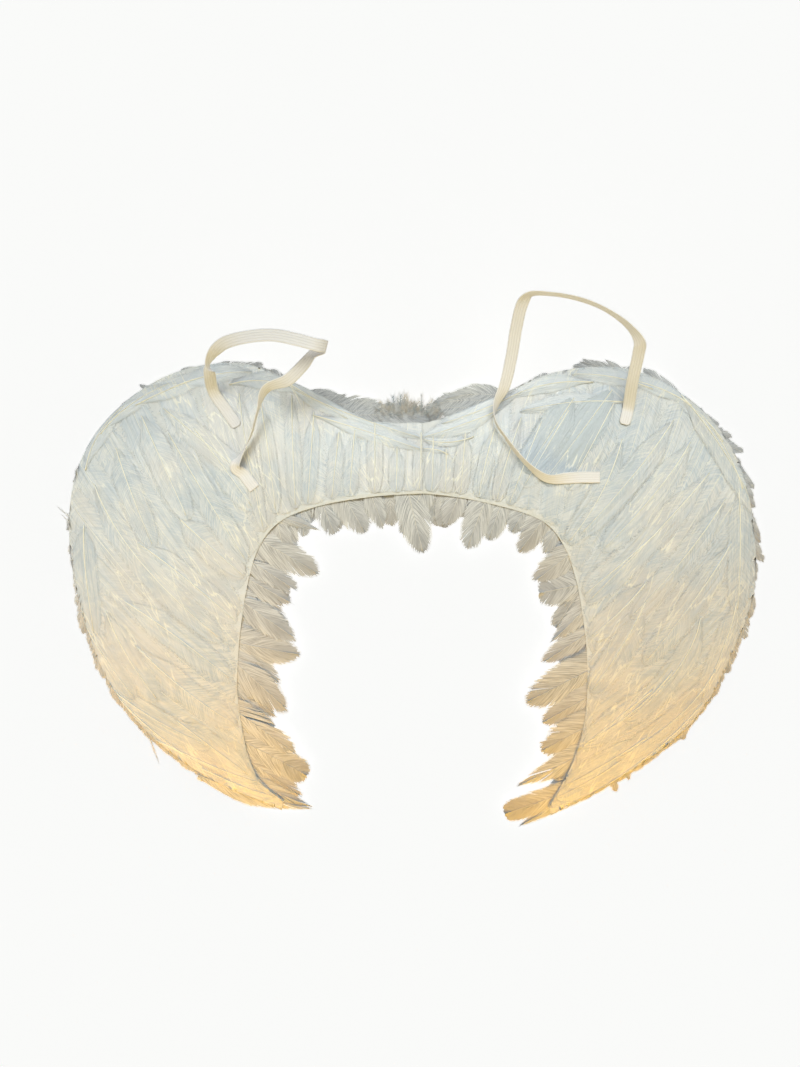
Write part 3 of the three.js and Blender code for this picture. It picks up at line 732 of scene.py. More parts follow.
# One tree lays any row: a copy of a pattern along each point's line, over or under its sheet
def buildRowTree():
    tree = bpy.data.node_groups.new("featherRow", "GeometryNodeTree")
    for name, kind in (
        ("Lines", "NodeSocketGeometry"),
        ("Patterns", "NodeSocketCollection"),
        ("Sheet", "NodeSocketObject"),
        ("Search height", "NodeSocketFloat"),
        ("Floor gap", "NodeSocketFloat"),
        ("Finish", "NodeSocketMaterial"),
    ):
        tree.interface.new_socket(name, in_out="INPUT", socket_type=kind)
    tree.interface.new_socket("Feathers", in_out="OUTPUT", socket_type="NodeSocketGeometry")
    web = Web(tree)
    group = tree.nodes.new("NodeGroupInput")

    def given(name):
        return Wire(web, group.outputs[name])

    def named(name, kind="FLOAT"):
        return web.add("GeometryNodeInputNamedAttribute", {"data_type": kind}, {"Name": name})

    pool = {"Collection": given("Patterns"), "Separate Children": True, "Reset Children": True}
    copies = {
        "Points": given("Lines"),
        "Instance": web.add("GeometryNodeCollectionInfo", {}, pool),
        "Pick Instance": True,
        "Instance Index": named("pick", "INT"),
    }
    laid = web.add("GeometryNodeInstanceOnPoints", {}, copies)
    laid = web.add("GeometryNodeRealizeInstances", {}, {"Geometry": laid})
    local = web.add("GeometryNodeInputPosition")
    root, bend, tip = (named(name, "FLOAT_VECTOR") for name in ("root", "bend", "tip"))
    quill, roll = named("quill"), named("roll")
    t = local.part("X")
    rest = 1 - t
    middle = root * (rest * rest) + bend * (t * rest * 2) + tip * (t * t)
    ahead = ((bend - root) * rest + (tip - bend) * t).unit()
    side = web.vector(0.0, 0.0, 1.0).cross(ahead).unit()
    scale = named("wide") * (1 - quill) + named("shaft") * quill
    sideways = local.part("Y") * scale
    spot = middle + side * sideways
    query = web.vector(spot.part("X"), spot.part("Y"), given("Search height"))
    sheet = web.add("GeometryNodeObjectInfo", {}, {"Object": given("Sheet")}, "Geometry")
    near = web.add("GeometryNodeProximity", {}, {"Geometry": sheet, "Sample Position": query})
    trim = named("trim")
    height = near.part("Z") + spot.part("Z") + sideways * roll + local.part("Z") * scale
    x = spot.part("X") * (1 - trim) + near.part("X") * trim
    y = spot.part("Y") * (1 - trim) + near.part("Y") * trim
    moved = web.vector(x, y, height.atLeast(given("Floor gap")))
    laid = web.add("GeometryNodeSetPosition", {}, {"Geometry": laid, "Position": moved})
    laid = web.add("GeometryNodeSetMaterial", {}, {"Geometry": laid, "Material": given("Finish")})
    output = tree.nodes.new("NodeGroupOutput")
    tree.links.new(laid.socket, output.inputs[0])
    return tree


rowTree = buildRowTree()
rowDice = np.random.default_rng(7)


def plan(root, tip, wide, style, bend=None, lift=0.0, tipLift=None, roll=0.0, shaft=0.0004, trim=0.0,
         tone=None):
    root, tip = np.array(root, float), np.array(tip, float)
    bend = (root + tip) / 2 if bend is None else np.array(bend, float)
    last = lift if tipLift is None else tipLift
    root[2], bend[2], tip[2] = lift, (lift + last) / 2, last
    numbers = patternNumbers[style]
    pick = numbers[int(rowDice.integers(len(numbers)))]
    tone = float(rowDice.random()) if tone is None else tone
    return {"root": root, "bend": bend, "tip": tip, "wide": wide / 2, "roll": roll,
            "shaft": shaft, "trim": trim, "pick": pick, "tone": tone}


def layFeathers(name, plans, sheet, finish, over):
    mesh = bpy.data.meshes.new(name)
    mesh.from_pydata([(0, 0, 0)] * len(plans), [], [])
    for key, kind in (("root", "FLOAT_VECTOR"), ("bend", "FLOAT_VECTOR"), ("tip", "FLOAT_VECTOR"),
                      ("wide", "FLOAT"), ("roll", "FLOAT"), ("shaft", "FLOAT"), ("trim", "FLOAT"),
                      ("tone", "FLOAT"), ("pick", "INT")):
        layer = mesh.attributes.new(key, kind, "POINT")
        values = np.array([p[key] for p in plans], np.int32 if kind == "INT" else np.float32)
        layer.data.foreach_set("vector" if kind == "FLOAT_VECTOR" else "value", values.ravel())
    lines = addObject(name + "_lines", mesh)
    modifier = lines.modifiers.new("feathers", "NODES")
    modifier.node_group = rowTree
    settings = {"Patterns": patterns, "Sheet": sheet, "Finish": finish}
    settings["Search height"] = 0.016 if over else 0.006
    settings["Floor gap"] = 0.0004
    for item in rowTree.interface.items_tree:
        if item.name in settings:
            modifier[item.identifier] = settings[item.name]
    graph = bpy.context.evaluated_depsgraph_get()
    made = bpy.data.meshes.new_from_object(lines.evaluated_get(graph), depsgraph=graph)
    made.name = name
    made.shade_smooth()
    bpy.data.objects.remove(lines)
    feathers = addObject(name, made)
    print(f"{name}: {len(plans)} feathers, {sum(len(p.vertices) - 2 for p in made.polygons)} triangles")
    return feathers


# Back feathers, glued flat on the sheets and trimmed with them. Places are pixels of the photograph.
backRow = {
    "wide": 0.027,
    "shaft": 0.0006,
    "lift": 0.0004,
    "step": 0.00002,  # each lies this much higher than the one before
    "onBridge": 0.6,  # width of the upright ones, as a share
    "past": 0.25,  # how far the vane goes on past the quill that shows
    "hem": 0.0015,  # bare film along the inner edge
}
baseRow = {"count": 19, "lastSection": 11.3, "wide": 1.35, "lift": 0.00015, "shaft": 0.0002, "lean": 1.4}
leftQuills = [  # root X and Y, bend X and Y, tip X and Y
    (166, 410, 198, 436, 244, 474),
    (143, 418, 160, 455, 184, 508),
    (171, 436, 200, 487, 250, 566),
    (117, 450, 128, 485, 150, 536),
    (96, 488, 124, 560, 206, 626),
    (84, 527, 82, 560, 92, 622),
    (182, 520, 203, 540, 240, 572),
    (142, 545, 180, 570, 240, 624),
    (128, 603, 170, 628, 236, 682),
    (107, 613, 122, 655, 152, 692),
    (140, 649, 184, 694, 240, 726),
    (79, 612, 95, 650, 128, 690),
    (110, 688, 150, 722, 200, 742),
    (179, 722, 205, 742, 240, 768),
    (160, 742, 230, 776, 288, 788),
    (205, 770, 250, 792, 296, 800),
    (120, 700, 160, 744, 214, 774),
    (196, 430, 214, 452, 248, 500),
]
rightQuills = [
    (612, 405, 596, 436, 572, 480),
    (567, 412, 550, 440, 528, 478),
    (620, 443, 604, 500, 556, 556),
    (671, 423, 640, 470, 590, 524),
    (688, 445, 662, 490, 612, 540),
    (683, 397, 722, 440, 752, 500),
    (739, 491, 742, 540, 738, 600),
    (706, 476, 660, 530, 582, 606),
    (723, 502, 690, 555, 640, 606),
    (729, 546, 704, 590, 654, 650),
    (655, 533, 626, 560, 576, 600),
    (644, 583, 622, 612, 584, 640),
    (736, 604, 730, 640, 706, 690),
    (699, 620, 690, 670, 636, 712),
    (643, 604, 622, 650, 586, 696),
    (670, 673, 640, 712, 590, 740),
    (650, 691, 624, 712, 584, 744),
    (714, 672, 690, 718, 630, 752),
    (645, 738, 615, 760, 572, 782),
    (700, 706, 660, 756, 596, 792),
    (620, 761, 595, 780, 552, 800),
]
bridgeQuills = [  # upright ones between the wings, of the left sheet and then of the right one
    (262, 407, 268, 440, 275, 500, "left"),
    (292, 398, 293, 450, 296, 508, "left"),
    (314, 414, 312, 450, 308, 506, "left"),
    (339, 434, 336, 460, 332, 500, "left"),
    (355, 432, 352, 460, 350, 498, "left"),
    (375, 424, 375, 460, 375, 496, "left"),
    (397, 448, 397, 470, 396, 496, "left"),
    (240, 396, 244, 440, 262, 520, "left"),
    (421, 434, 421, 460, 419, 496, "left"),
    (433, 438, 433, 470, 431, 496, "right"),
    (446, 450, 446, 470, 445, 496, "right"),
    (465, 434, 463, 460, 460, 496, "right"),
    (494, 430, 484, 462, 478, 498, "right"),
    (520, 420, 505, 460, 496, 502, "right"),
    (540, 424, 524, 462, 508, 506, "right"),
]


innerEdges = {
    side: np.array([curvePoint(wing["inner"], i / 48)[:2] for i in range(49)])
    for side, wing in (("left", left), ("right", right))
}


def insideEdge(side, point):  # how far a point lies inside the inner edge
    edge = innerEdges[side]
    start, run = edge[:-1], edge[1:] - edge[:-1]
    share = np.clip(((point[:2] - start) * run).sum(1) / (run * run).sum(1), 0, 1)
    away = point[:2] - (start + share[:, None] * run)
    i = np.linalg.norm(away, axis=1).argmin()
    turn = run[i][0] * away[i][1] - run[i][1] * away[i][0]
    return turn / np.linalg.norm(run[i]) * (-1 if side == "left" else 1)


def heldInside(side, bend, tip):  # drawn back until it leaves the hem free
    while insideEdge(side, tip) < backRow["hem"]:
        tip = bend + (tip - bend) * 0.97
    return tip


def backPlans(wing, quills, start):
    plans = []
    side = "left" if wing is left else "right"
    for i in range(baseRow["count"]):  # the lower layer, which covers the sheet
        section = start + (baseRow["lastSection"] - start) * i / (baseRow["count"] - 1)
        lean = baseRow["lean"] * smoothShare(section, 2, 6.5)
        root = wingPoint(wing, section, -0.03)
        bend = wingPoint(wing, section + 0.6 * lean, 0.42)
        tip = heldInside(side, bend, wingPoint(wing, section + lean, 1.0))
        lift = baseRow["lift"] + 0.5 * backRow["step"] * i
        wide = baseRow["wide"] * backRow["wide"]
        plans.append(plan(root, tip, wide, "broad", bend, lift, shaft=baseRow["shaft"], trim=1.0))
    rows = [row[:6] for row in bridgeQuills if row[6] == side]
    ordered = sorted(quills + rows, key=lambda row: -row[1])
    for number, row in enumerate(ordered):
        root, bend, tip = onWings(*row[0:2]), onWings(*row[2:4]), onWings(*row[4:6])
        tip = heldInside(side, bend, tip + (tip - bend) * backRow["past"])
        wide = backRow["wide"] * (backRow["onBridge"] if row in rows else rowDice.uniform(0.85, 1.05))
        lift = backRow["lift"] + backRow["step"] * number
        plans.append(plan(root, tip, wide, "blade", bend, lift, shaft=backRow["shaft"], trim=1.0))
    return plans


leftBack = layFeathers("left_back_vanes", backPlans(left, leftQuills, 0.3), leftSheet,
                       finishes["back_vane"], True)
rightBack = layFeathers("right_back_vanes", backPlans(right, rightQuills, 1.5), rightSheet,
                        finishes["back_vane"], True)

# Edge feathers, end to end along the leading edge over the back feathers
edgeRow = {"wide": 0.0185, "lift": 0.0009, "step": 0.00003, "shaft": 0.0005}
leftEdgeLines = [  # root, bend and tip in pixels; then width as a share, kind and tone where they differ
    (86, 468, 92, 430, 128, 402),
    (102, 432, 124, 402, 172, 382),
    (138, 404, 172, 386, 212, 374),
    (172, 388, 210, 370, 254, 372),
    (232, 384, 266, 374, 304, 392),
    (284, 380, 316, 400, 350, 420),
    (298, 391, 346, 416, 424, 439),
    (316, 416, 366, 430, 424, 451),
]
rightEdgeLines = [
    (742, 486, 728, 446, 704, 418),
    (722, 440, 704, 412, 670, 392),
    (690, 404, 660, 384, 622, 378),
    (650, 388, 612, 372, 570, 374),
    (622, 402, 570, 398, 518, 412),
    (590, 382, 548, 378, 506, 398),
    (520, 392, 480, 412, 440, 424),
    (498, 410, 468, 424, 420, 438),
    (472, 437, 446, 447, 420, 438, 0.5, "slim", 0.3),
    (447, 454, 436, 447, 419, 449, 0.4, "slim", 0.3),
    (610, 392, 584, 428, 541, 484, 2.0, "blade", 0.9),
    (572, 400, 552, 430, 524, 474, 1.7, "blade", 0.9),
]


def edgePlans(rows):
    plans = []
    for number, row in enumerate(rows):
        root, bend, tip = onWings(*row[0:2]), onWings(*row[2:4]), onWings(*row[4:6])
        lift = edgeRow["lift"] + edgeRow["step"] * number
        share, kind, tone = row[6:] or (1, "slim", 0.45)
        wide = edgeRow["wide"] * rowDice.uniform(0.9, 1.1) * share
        plans.append(plan(root, tip, wide, kind, bend, lift, shaft=edgeRow["shaft"], trim=1.0, tone=tone))
    return plans


leftEdgeRow = layFeathers("left_edge_vanes", edgePlans(leftEdgeLines), leftSheet,
                          finishes["edge_vane"], True)
rightEdgeRow = layFeathers("right_edge_vanes", edgePlans(rightEdgeLines), rightSheet,
                           finishes["edge_vane"], True)

# Flight feathers: their tips show past the inner edge
flight = {"wide": 0.031, "hidden": 0.062, "lift": -0.0002, "tipLift": -0.0009, "shaft": 0.0004,
          "stagger": 0.0004, "tipStagger": 0.0008, "roll": 0.04}
filling = {"count": 34, "from": 2.3, "over": 8.6, "root": 0.62, "lean": 0.7, "wide": (0.020, 0.030),
           "lift": -0.0014, "drop": 0.001, "leftReach": (0.10, 0.28), "rightReach": (0.06, 0.18)}
leftTips = [  # where it leaves the edge, where it ends, its width as a share, its kind
    (283, 520, 322, 531, 0.6, "pointed"),
    (258, 540, 320, 575, 1.1, "round"),
    (250, 562, 298, 592, 0.9, "ragged"),
    (246, 578, 296, 606, 0.9, "ragged"),
    (242, 600, 298, 640, 1.0, "ragged"),
    (238, 641, 302, 655, 1.05, "round"),
    (238, 665, 290, 712, 1.1, "ragged"),
    (238, 690, 262, 722, 0.6, "pointed"),
    (242, 715, 297, 756, 0.9, "ragged"),
    (248, 745, 309, 778, 0.95, "square"),
    (258, 783, 313, 808, 0.7, "pointed"),
    (236, 752, 304, 800, 0.9, "ragged"),
    (224, 758, 296, 806, 0.8, "pointed"),
    (266, 796, 313, 810, 0.7, "pointed"),
]
rightTips = [
    (543, 518, 518, 553, 1.0, "round"),
    (556, 533, 543, 556, 0.7, "ragged"),
    (570, 552, 533, 583, 1.05, "ragged"),
    (578, 586, 537, 594, 1.05, "square"),
    (583, 610, 549, 644, 0.9, "pointed"),
    (583, 636, 541, 664, 0.8, "ragged"),
    (585, 672, 524, 703, 1.25, "round"),
    (583, 702, 541, 724, 0.85, "round"),
    (580, 732, 540, 752, 1.1, "round"),
    (570, 760, 516, 788, 0.95, "pointed"),
    (556, 796, 503, 815, 0.8, "square"),
    (560, 806, 518, 829, 0.6, "pointed"),
    (580, 778, 522, 812, 0.9, "ragged"),
    (590, 784, 532, 822, 0.8, "pointed"),
]
bridgeTips = [
    (322, 500, 336, 537, 1.0, "ragged"),
    (346, 498, 366, 534, 1.05, "round"),
    (372, 497, 384, 529, 0.75, "ragged"),
    (418, 497, 402, 536, 0.9, "round"),
    (412, 497, 424, 555, 1.0, "round"),
    (458, 497, 446, 528, 0.9, "ragged"),
    (486, 500, 466, 550, 1.0, "round"),
    (502, 502, 488, 542, 0.9, "round"),
    (526, 508, 510, 534, 0.9, "round"),
]


def tipPlans(tips, hidden):
    plans = []
    for number, (baseX, baseY, tipX, tipY, wide, kind) in enumerate(tips):
        base, tip = onWings(baseX, baseY), onWings(tipX, tipY)
        ahead = (tip - base) / np.linalg.norm(tip - base)
        root = base - ahead * hidden
        low = number % 2  # every other one lies lower
        sideways = np.array([-ahead[1], ahead[0], 0]) * rowDice.normal(0, 0.002)
        plans.append(plan(root, tip, wide * flight["wide"], kind, (root + tip) / 2 + sideways,
                          flight["lift"] - flight["stagger"] * low,
                          flight["tipLift"] - flight["tipStagger"] * low,
                          rowDice.normal(0, flight["roll"]), flight["shaft"]))
    return plans


def fillPlans(wing, reach):  # shorter ones between the long ones
    plans = []
    for i in range(filling["count"]):
        share = (i + rowDice.uniform(-0.3, 0.3)) / (filling["count"] - 1)
        section = filling["from"] + filling["over"] * share
        lean = filling["lean"] * smoothShare(section, 2, 6.5)
        tip = wingPoint(wing, section + lean, 1 + rowDice.uniform(*reach))
        root = wingPoint(wing, section, filling["root"])
        wide = rowDice.uniform(*filling["wide"])
        kind = ("ragged", "round", "ragged", "square")[i % 4]
        lift = filling["lift"] - flight["stagger"] * (i % 3)
        plans.append(plan(root, tip, wide, kind, None, lift, lift - filling["drop"],
                          rowDice.normal(0, flight["roll"]), flight["shaft"]))
    return plans


flightPlans = tipPlans(leftTips, flight["hidden"]) + fillPlans(left, filling["leftReach"])
leftFlight = layFeathers("left_flight_vanes", flightPlans, leftSheet, finishes["front_vane"], False)
flightPlans = tipPlans(rightTips, flight["hidden"]) + fillPlans(right, filling["rightReach"])
rightFlight = layFeathers("right_flight_vanes", flightPlans, rightSheet, finishes["front_vane"], False)

# Middle feathers and coverts: the front of the wings, which lies on the floor
frontRows = {
    "middle": {"across": (0.24, 0.92), "from": 1.6, "to": 10.2, "count": 24, "wide": 0.034,
               "lift": -0.0040, "lean": 0.8, "kind": "round"},
    "longCovert": {"across": (0.14, 0.60), "from": 1.4, "to": 10.8, "count": 28, "wide": 0.030,
                   "lift": -0.0055, "lean": 0.6, "kind": "covert"},
    "covert": {"across": (0.06, 0.40), "from": 1.2, "to": 11.2, "count": 34, "wide": 0.027,
               "lift": -0.0068, "lean": 0.5, "kind": "covert"},
    "rim": {"across": (0.10, 0.004), "from": 2.2, "to": 10.3, "count": 66, "wide": 0.015, "stray": 0.014,
            "past": -0.045, "lift": -0.0022, "lean": 1.0, "kind": "ragged"},
    "small": {"across": (0.03, 0.24), "from": 1.2, "to": 11.0, "count": 44, "wide": 0.022,
              "lift": -0.0078, "lean": 0.4, "kind": "covert"},
}
frontSlope, frontRoll, frontShaft = 0.0004, 0.03, 0.00035


def rowPlans(wing, row):
    plans = []
    for i in range(row["count"]):
        share = (i + rowDice.uniform(-0.2, 0.2)) / (row["count"] - 1)
        section = row["from"] + (row["to"] - row["from"]) * share
        lean = row["lean"] * (0.4 + 0.6 * smoothShare(section, 2, 6.5))
        start, end = row["across"]
        root = wingPoint(wing, section, start)
        worn = smoothShare(section, *((6.0, 7.5) if wing is left else (4.0, 5.5)))
        end += row.get("past", 0) * worn + rowDice.normal(0, row.get("stray", 0.02))
        tip = wingPoint(wing, section + lean, end)
        bend = wingPoint(wing, section + 0.6 * lean, (start + end) / 2)
        wide = row["wide"] * rowDice.uniform(0.85, 1.1)
        plans.append(plan(root, tip, wide, row["kind"], bend, row["lift"] + frontSlope,
                          row["lift"] - frontSlope, rowDice.normal(0, frontRoll), frontShaft))
    return plans


strayRow = {"lift": -0.0022, "tipLift": -0.003, "shaft": 0.0003}
strays = {  # loose ones at the rim: root and tip in pixels, width in metres, kind
    "left": [
        (74, 522, 56, 507, 0.004, "plume"),
        (76, 530, 60, 515, 0.003, "plume"),
        (148, 738, 157, 763, 0.004, "plume"),
        (168, 397, 137, 384, 0.007, "ragged"),
        (200, 372, 264, 363, 0.012, "ragged"),
        (176, 382, 232, 359, 0.010, "ragged"),
    ],
    "right": [
        (645, 380, 572, 364, 0.016, "ragged"),
        (632, 374, 580, 360, 0.012, "ragged"),
        (625, 372, 606, 358, 0.007, "pointed"),
        (684, 398, 644, 367, 0.014, "ragged"),
        (610, 772, 618, 794, 0.010, "ragged"),
        (628, 762, 630, 782, 0.008, "ragged"),
        (742, 600, 751, 628, 0.008, "ragged"),
        (690, 716, 684, 742, 0.010, "ragged"),
    ],
}


def strayPlans(rows):
    plans = []
    for rootX, rootY, tipX, tipY, wide, kind in rows:
        turn = rowDice.normal(0, 0.1)
        plans.append(plan(onWings(rootX, rootY), onWings(tipX, tipY), wide, kind, None,
                          strayRow["lift"], strayRow["tipLift"], turn, strayRow["shaft"]))
    return plans


frontPieces = {}
for side, wing, sheet in (("left", left, leftSheet), ("right", right, rightSheet)):
    middlePlans = rowPlans(wing, frontRows["middle"])
    frontPieces[side + "_middle"] = layFeathers(side + "_middle_vanes", middlePlans, sheet,
                                                finishes["front_vane"], False)
    covertPlans = []
    for key in ("rim", "longCovert", "covert", "small"):
        covertPlans += rowPlans(wing, frontRows[key])
    covertPlans += strayPlans(strays[side])
    frontPieces[side + "_covert"] = layFeathers(side + "_covert_vanes", covertPlans, sheet,
                                                finishes["front_vane"], False)

# Bridge feathers, and the ones that show over the top edge in the middle
bridgeTops = [  # root, bend and tip in pixels, width as a share, kind
    (296, 396, 326, 393, 356, 404, 0.55, "pointed"),
    (316, 404, 350, 401, 386, 410, 0.7, "ragged"),
    (336, 412, 366, 408, 398, 414, 0.8, "ragged"),
    (346, 416, 386, 411, 430, 421, 0.75, "round"),
    (512, 398, 476, 388, 442, 400, 0.7, "pointed"),
    (500, 402, 466, 396, 432, 404, 0.8, "ragged"),
    (486, 410, 456, 404, 424, 410, 0.8, "ragged"),
]
bridgeRow = {"hidden": 0.047, "shaft": 0.0002, "topTone": 0.1, "topLift": -0.0012, "topStep": 0.0003}
hanging = {"count": 32, "firstX": 306, "stepX": 7, "rootY": 462, "edgeY": 498, "drop": (16, 33),
           "wide": (0.018, 0.027), "lift": -0.0024, "fall": 0.0012}  # X, Y and drop in pixels
cover = {"count": 30, "firstX": 362, "stepX": 3.2, "rootY": 424, "tipY": 462, "secondRow": 30,
         "wide": 0.024, "lift": -0.0055, "secondLift": 0.0015, "fall": 0.0006, "shaft": 0.0003}
bridgePlans = tipPlans(bridgeTips, bridgeRow["hidden"])
for number, row in enumerate(bridgeTops):
    root, bend, tip = onWings(*row[0:2]), onWings(*row[2:4]), onWings(*row[4:6])
    lift = bridgeRow["topLift"] - bridgeRow["topStep"] * abs(number - 3)
    bridgePlans.append(plan(root, tip, row[6] * flight["wide"], row[7], bend, lift,
                            shaft=bridgeRow["shaft"], tone=bridgeRow["topTone"]))
for i in range(hanging["count"]):  # shorter ones between the tips
    x = hanging["firstX"] + hanging["stepX"] * i + rowDice.uniform(-4, 4)
    tipY = hanging["edgeY"] + rowDice.uniform(*hanging["drop"])
    lift = hanging["lift"] - flight["stagger"] * (i % 4)
    kind = ("ragged", "round", "square")[i % 3]
    root, tip = onWings(x, hanging["rootY"]), onWings(x + rowDice.uniform(-16, 12), tipY)
    wide = rowDice.uniform(*hanging["wide"])
    bridgePlans.append(plan(root, tip, wide, kind, None, lift, lift - hanging["fall"],
                            rowDice.normal(0, flight["roll"]), bridgeRow["shaft"]))
for i in range(cover["count"]):  # two rows on the front of the bridge
    second = i % 2
    x, drop = cover["firstX"] + cover["stepX"] * i, cover["secondRow"] * second
    lift = cover["lift"] + cover["secondLift"] * second
    root = onWings(x, cover["rootY"] + drop)
    tip = onWings(x + rowDice.uniform(-8, 8), cover["tipY"] + drop)
    bridgePlans.append(plan(root, tip, cover["wide"], "covert", None, lift, lift - cover["fall"],
                            rowDice.normal(0, flight["roll"]), cover["shaft"]))
bridge = layFeathers("bridge_vanes", bridgePlans, rightSheet, finishes["front_vane"], False)

# Down tuft in the middle of the top edge
tuft = {"plumes": 84, "left": onWings(388, 427), "right": onWings(428, 424), "reach": 0.0265,
        "wide": 0.013, "lift": -0.0048, "lobes": 3, "fan": 80, "shaft": 0.0002}
tuftPlans = []
for i in range(tuft["plumes"]):
    share = (i * 0.618) % 1 * 1.1 - 0.05
    turn = math.radians(90 + tuft["fan"] * (0.5 - share) + rowDice.normal(0, 20))
    ahead = np.array([math.cos(turn), math.sin(turn), 0])
    root = tuft["left"] * (1 - share) + tuft["right"] * share
    lobe = 0.62 + 0.38 * abs(math.sin(math.pi * tuft["lobes"] * share))
    tip = root + ahead * tuft["reach"] * lobe * rowDice.uniform(0.65, 1.1)
    bend = (root + tip) / 2 + np.array([-ahead[1], ahead[0], 0]) * rowDice.normal(0, 0.004)
    tuftPlans.append(plan(root, tip, tuft["wide"] * rowDice.uniform(0.7, 1.3), "plume", bend,
                          tuft["lift"], tuft["lift"] + rowDice.uniform(-0.001, 0.005), 0.0,
                          tuft["shaft"]))
fluff = layFeathers("centre_down", tuftPlans, rightSheet, finishes["down"], False)

# Shoulder straps of ribbed elastic, glued down flat at both ends
straps = {
    "width": 0.010,
    "thickness": 0.0011,
    "ribs": 5,
    "ribDepth": 0.00016,
    "leftRise": 0.080,
    "rightRise": 0.058,
    "overFilm": 0.0012 + 0.00055,  # the feathers' height and half the webbing
    "ringsPerRow": 14,
    "corner": 0.004,
}
leftRoute = [  # X share, Y share, height share, bearing and tilt of the direction across, in degrees
    (-0.497, 0.853, 0, 36, 0),
    (-0.514, 0.871, 0, 36, 0),
    (-0.531, 0.889, 0, 36, 0),
    (-0.561, 0.921, 0.035, 30, 10),
    (-0.559, 0.949, 0.275, 40, 50),
    (-0.539, 0.973, 0.55, 80, 80),
    (-0.493, 0.991, 0.775, 125, 20),
    (-0.427, 0.998, 0.9, 98, 0),
    (-0.356, 0.999, 0.96, 90, 0),
    (-0.289, 0.988, 1, 80, 0),
    (-0.244, 0.979, 1, 76, 0),
    (-0.221, 0.98, 0.88, 75, 0),
    (-0.255, 0.976, 0.75, 80, 0),
    (-0.287, 0.956, 0.65, 120, 0),
    (-0.333, 0.93, 0.55, 125, 20),
    (-0.395, 0.917, 0.425, 135, 60),
    (-0.424, 0.882, 0.275, 20, 86),
    (-0.452, 0.831, 0.14, 0, 84),
    (-0.486, 0.784, 0.095, 10, 55),
    (-0.5, 0.765, 0.04, 30, 15),
    (-0.479, 0.752, 0, 34, 0),
    (-0.464, 0.737, 0, 34, 0),
    (-0.448, 0.722, 0, 34, 0),
]
rightRoute = [
    (0.611, 0.857, 0, -15, 0),
    (0.617, 0.873, 0, -15, 0),
    (0.622, 0.889, 0, -15, 0),
    (0.614, 0.939, 0.38, -10, 0),
    (0.611, 0.984, 0.72, -6, 5),
    (0.606, 1.001, 0.86, 10, 45),
    (0.578, 1.026, 0.93, 60, 80),
    (0.523, 1.055, 0.97, 0, 90),
    (0.451, 1.077, 1, 0, 90),
    (0.37, 1.089, 1, 0, 90),
    (0.308, 1.089, 0.98, 165, 60),
    (0.294, 1.077, 0.86, 165, 12),
    (0.284, 1.04, 0.66, 168, 0),
    (0.276, 0.987, 0.45, 169, 0),
    (0.261, 0.931, 0.28, 165, 15),
    (0.241, 0.897, 0.17, 160, 55),
    (0.237, 0.867, 0.125, 160, 85),
    (0.273, 0.822, 0.12, 40, 86),
    (0.33, 0.772, 0.11, 50, 78),
    (0.387, 0.743, 0.08, 75, 50),
    (0.446, 0.744, 0.03, 88, 15),
    (0.485, 0.746, 0, 90, 0),
    (0.513, 0.746, 0, 90, 0),
    (0.541, 0.746, 0, 90, 0),
]


def makeStrap(name, route, rise):
    last = len(route) - 1
    places = [sharePlace(row[0], row[1]) + shift for row in route]
    levels = [heightAt(p[0], p[1]) + wings["film"] + straps["overFilm"] for p in (places[0], places[-1])]
    for i, place in enumerate(places):
        share = smoothShare(i / last, 0.12, 0.88)
        place[2] = levels[0] + (levels[1] - levels[0]) * share + route[i][2] * rise
    directions = []
    for row in route:
        turn, tilt = math.radians(row[3]), math.radians(row[4])
        flat = math.cos(tilt)
        directions.append(np.array([flat * math.cos(turn), flat * math.sin(turn), math.sin(tilt)]))
    half, thick = straps["width"] / 2, straps["thickness"] / 2
    profile = []
    steps = 8 * straps["ribs"]
    for i in range(steps + 1):
        y = -1 + 2 * i / steps
        edge = math.sqrt(max(0, 1 - y ** 10))
        rib = straps["ribDepth"] * (1 - abs(math.sin(math.pi * straps["ribs"] * (y + 1) / 2)))
        profile.append((y * half, max(thick * edge - rib, thick * 0.35 * edge)))
    ring = [(y, z) for y, z in profile] + [(y, -z) for y, z in profile[-2:0:-1]]
    rings = straps["ringsPerRow"] * last
    points, uv, run = [], [], 0.0
    before = places[0]
    for i in range(rings + 1):
        t = i / rings
        middle, ahead = curvePoint(places, t), curveAhead(places, t)
        corner = max(0, 1 - np.linalg.norm(middle - places[0]) / straps["corner"])
        narrow = 1 - 0.5 * corner ** 3  # the first end has rounded corners
        across = curvePoint(directions, t)
        across = across - ahead * across.dot(ahead)
        across /= np.linalg.norm(across)
        out = np.cross(ahead, across)
        run += np.linalg.norm(middle - before)
        before = middle
        for y, z in ring:
            points.append(middle + across * y * narrow + out * z)
            uv.append((run / millimetre, y / millimetre))
    count = len(ring)
    faces = []
    for i in range(rings):
        for k in range(count):
            a, b = i * count + k, i * count + (k + 1) % count
            faces.append((a, b, b + count, a + count))
    faces.append(tuple(range(count))[::-1])
    faces.append(tuple(range(rings * count, (rings + 1) * count)))
    mesh = meshFrom(name, points, faces, uv)
    turnOut(mesh)
    mesh.materials.append(finishes["elastic"])
    print(f"{name}: {run:.3f} m long")
    return addObject(name, mesh)


leftStrap = makeStrap("left_elastic", leftRoute, straps["leftRise"])
rightStrap = makeStrap("right_elastic", rightRoute, straps["rightRise"])

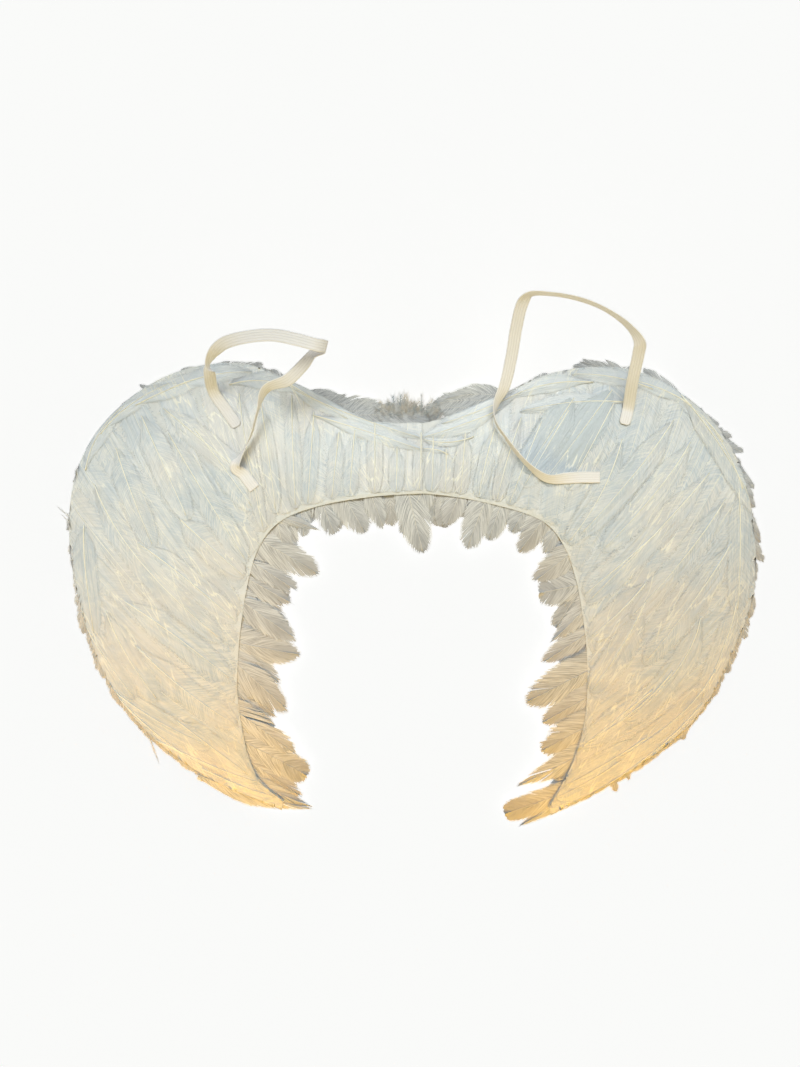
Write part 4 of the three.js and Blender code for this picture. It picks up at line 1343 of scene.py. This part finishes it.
# What each piece stands for
for piece, node, slot in (
    (leftSheet, "left_backing", "film"),
    (rightSheet, "right_backing", "film"),
    (leftBack, "left_back_feathers", "back_vane"),
    (rightBack, "right_back_feathers", "back_vane"),
    (leftEdgeRow, "left_edge_feathers", "back_vane"),
    (rightEdgeRow, "right_edge_feathers", "back_vane"),
    (leftFlight, "left_flight_feathers", "front_vane"),
    (rightFlight, "right_flight_feathers", "front_vane"),
    (frontPieces["left_middle"], "left_middle_feathers", "front_vane"),
    (frontPieces["right_middle"], "right_middle_feathers", "front_vane"),
    (frontPieces["left_covert"], "left_covert_feathers", "front_vane"),
    (frontPieces["right_covert"], "right_covert_feathers", "front_vane"),
    (bridge, "bridge_feathers", "front_vane"),
    (fluff, "centre_fluff", "down"),
    (leftStrap, "left_strap", "elastic"),
    (rightStrap, "right_strap", "elastic"),
):
    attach(piece, "root")
    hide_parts(node)

# Floor and light
room = {
    "floor": 3.0,
    "floorColour": rgb(0.93, 0.93, 0.93),
    "floorSecond": rgb(0.88, 0.88, 0.87),
    "floorGlow": 0.71,
    "sky": rgb(0.98, 1.0, 0.95),
    "skyPower": 0.27,
}
lights = {
    "window": {"place": (-0.05, 0.32, 0.62), "target": (0.0, 0.05, 0), "size": (1.1, 0.3),
               "spread": 53, "power": 0.93, "colour": (0.95, 1.0, 0.99)},
    "warm_fill": {"place": (0.10, -0.95, 0.42), "target": (0, 0.05, 0.03), "size": (0.7, 0.3),
                  "spread": 100, "power": 1.4, "colour": (1.0, 0.74, 0.08)},
    "low_sun": {"place": (0.01, -0.47, 0.30), "target": (0.01, -0.18, 0), "size": (0.95, 0.05),
                "spread": 42, "power": 0.46, "colour": (1.0, 0.46, 0.0)},
}


def addLight(name, look):
    data = bpy.data.lights.new(name, "AREA")
    data.shape = "RECTANGLE"
    data.size, data.size_y = look["size"]
    data.energy = look["power"]
    data.color = look["colour"]
    data.spread = math.radians(look["spread"])
    light = bpy.data.objects.new(name, data)
    light.location = look["place"]
    aim = Vector(look["target"]) - Vector(look["place"])
    light.rotation_euler = aim.to_track_quat("-Z", "Y").to_euler()
    bpy.context.scene.collection.objects.link(light)
    return light


half = room["floor"] / 2
corners = [(-half, -half, 0), (half, -half, 0), (half, half, 0), (-half, half, 0)]
floor = addObject("floor", meshFrom("floor", corners, [(0, 1, 2, 3)]))
floorMaterial, floorWeb, floorSurface = startFinish("floor")
grain = floorWeb.noise(objectPlace(floorWeb), 40, 2)
tint = floorWeb.blend(grain * 0.1, room["floorColour"], room["floorSecond"])
glow = {"Emission Color": rgb(1, 1, 1), "Emission Strength": room["floorGlow"]}
setSurface(floorWeb, floorSurface, {"Base Color": tint, "Roughness": 0.8, **glow})
floor.data.materials.append(floorMaterial)
floor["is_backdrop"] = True

world = bpy.data.worlds.new("studio")
world.use_nodes = True
world.node_tree.nodes["Background"].inputs["Color"].default_value = room["sky"]
world.node_tree.nodes["Background"].inputs["Strength"].default_value = room["skyPower"]
bpy.context.scene.world = world
wingsOnly = bpy.data.collections.new("wingsOnly")  # the lamps reach these; the sky lights the floor
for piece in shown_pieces():
    wingsOnly.objects.link(piece)
for name, look in lights.items():
    addLight(name, look).light_linking.receiver_collection = wingsOnly
bpy.context.scene.view_settings.view_transform = "Standard"
print("floor and light placed")
